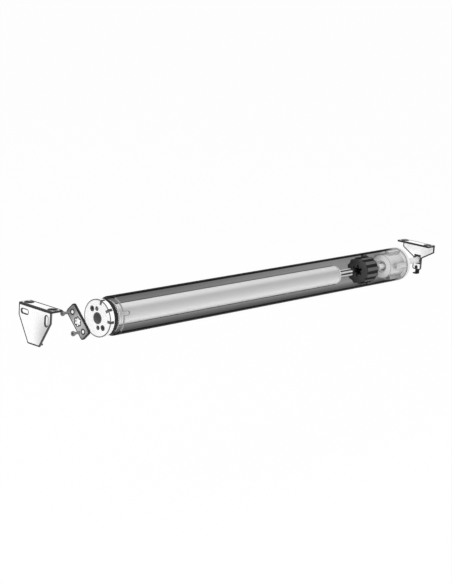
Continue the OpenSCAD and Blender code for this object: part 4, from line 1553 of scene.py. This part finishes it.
@dataclass(frozen=True)
class Lamp:
    """One soft square lamp. Its size and distance are in metres."""

    name: str
    azimuth: float
    elevation: float
    distance: float
    size: float
    watts: float

    def hang(self, middle: Vector) -> None:
        """Adds the lamp.

        Args:
            middle: The point that it faces.
        """
        data = bpy.data.lights.new(self.name, "AREA")
        data.shape = "SQUARE"
        data.size = self.size
        data.energy = self.watts
        lamp = bpy.data.objects.new(self.name, data)
        away = direction(self.azimuth, self.elevation)
        lamp.location = middle + away * self.distance
        lamp.rotation_euler = away.to_track_quat("Z", "Y").to_euler()
        bpy.context.scene.collection.objects.link(lamp)


@dataclass
class Studio:
    """Floor, lamps and the camera at the photograph's viewing angle. Sizes here are in metres."""

    floor_drop: float = 0.32
    floor_size: float = 30.0
    world_strength: float = 0.62
    azimuth: float = -48.289
    elevation: float = 13.156
    roll: float = 4.107
    distance: float = 2.03384
    target: Point = (0.2332, 0.0, 0.00384)
    focal_pixels: float = 1519.5
    sensor_mm: float = 36.0
    nearest: float = 0.05
    farthest: float = 100.0
    lamps: tuple[Lamp, ...] = (
        Lamp("key", azimuth=-60.0, elevation=48.0, distance=2.2, size=1.6, watts=30.0),
        Lamp("fill", azimuth=40.0, elevation=25.0, distance=2.6, size=2.0, watts=14.0),
    )

    def build(self) -> None:
        """Sets up the stage."""
        self.lay_floor()
        self.light()
        self.place_camera()
        bpy.context.scene.view_settings.view_transform = "Standard"

    def lay_floor(self) -> None:
        """Lays the pale floor below the object."""
        mesh = bmesh.new()
        bmesh.ops.create_grid(mesh, x_segments=1, y_segments=1, size=self.floor_size)
        data = bpy.data.meshes.new("floor")
        mesh.to_mesh(data)
        mesh.free()
        data.materials.append(Glow("pale floor").material())
        floor = bpy.data.objects.new("floor", data)
        floor.location = (self.target[X], 0.0, -self.floor_drop)
        bpy.context.scene.collection.objects.link(floor)

    def light(self) -> None:
        """Hangs the lamps and sets the even light all round."""
        for lamp in self.lamps:
            lamp.hang(Vector(self.target))
        world = bpy.data.worlds.new("studio")
        world.use_nodes = True
        bpy.context.scene.world = world
        board = Board(world.node_tree)
        seen = board.node("ShaderNodeLightPath").sibling("Is Camera Ray")
        strength = seen * (1.0 - self.world_strength) + self.world_strength
        light = board.node("ShaderNodeBackground", {}, {"Color": display(255), "Strength": strength})
        board.node("ShaderNodeOutputWorld", {}, {"Surface": light})

    def place_camera(self) -> None:
        """Aims the camera, whose lens is worked out for the photograph's frame."""
        back = direction(self.azimuth, self.elevation)
        around, turn = math.radians(self.azimuth), math.radians(self.roll)
        right = Vector((math.cos(around), math.sin(around), 0.0))
        upward = back.cross(right)
        level = right * math.cos(turn) + upward * math.sin(turn)
        high = upward * math.cos(turn) - right * math.sin(turn)
        data = bpy.data.cameras.new("camera")
        data.sensor_width = self.sensor_mm
        data.lens = self.focal_pixels / max(FRAME_WIDTH, FRAME_HEIGHT) * self.sensor_mm
        data.clip_start, data.clip_end = self.nearest, self.farthest
        camera = bpy.data.objects.new("camera", data)
        place = Matrix.Translation(Vector(self.target) + back * self.distance)
        camera.matrix_world = place @ Matrix((level, high, back)).transposed().to_4x4()
        bpy.context.scene.collection.objects.link(camera)
        bpy.context.scene.camera = camera


def main() -> None:
    """Builds the sub-assemblies in order, from the head to the brackets."""
    logging.basicConfig(level=logging.INFO, format="%(message)s")
    for assembly in (
        HeadUnit(),
        HousingUnit(),
        MotorCore(),
        GearTrain(),
        DriveEnd(),
        RollerTube(),
        IdlerEnd(),
        EndBrackets(),
        AdapterSet(),
    ):
        assembly.build()
        LOG.info("built %s", type(assembly).__name__)
    Studio().build()


if __name__ == "__main__":
    main()
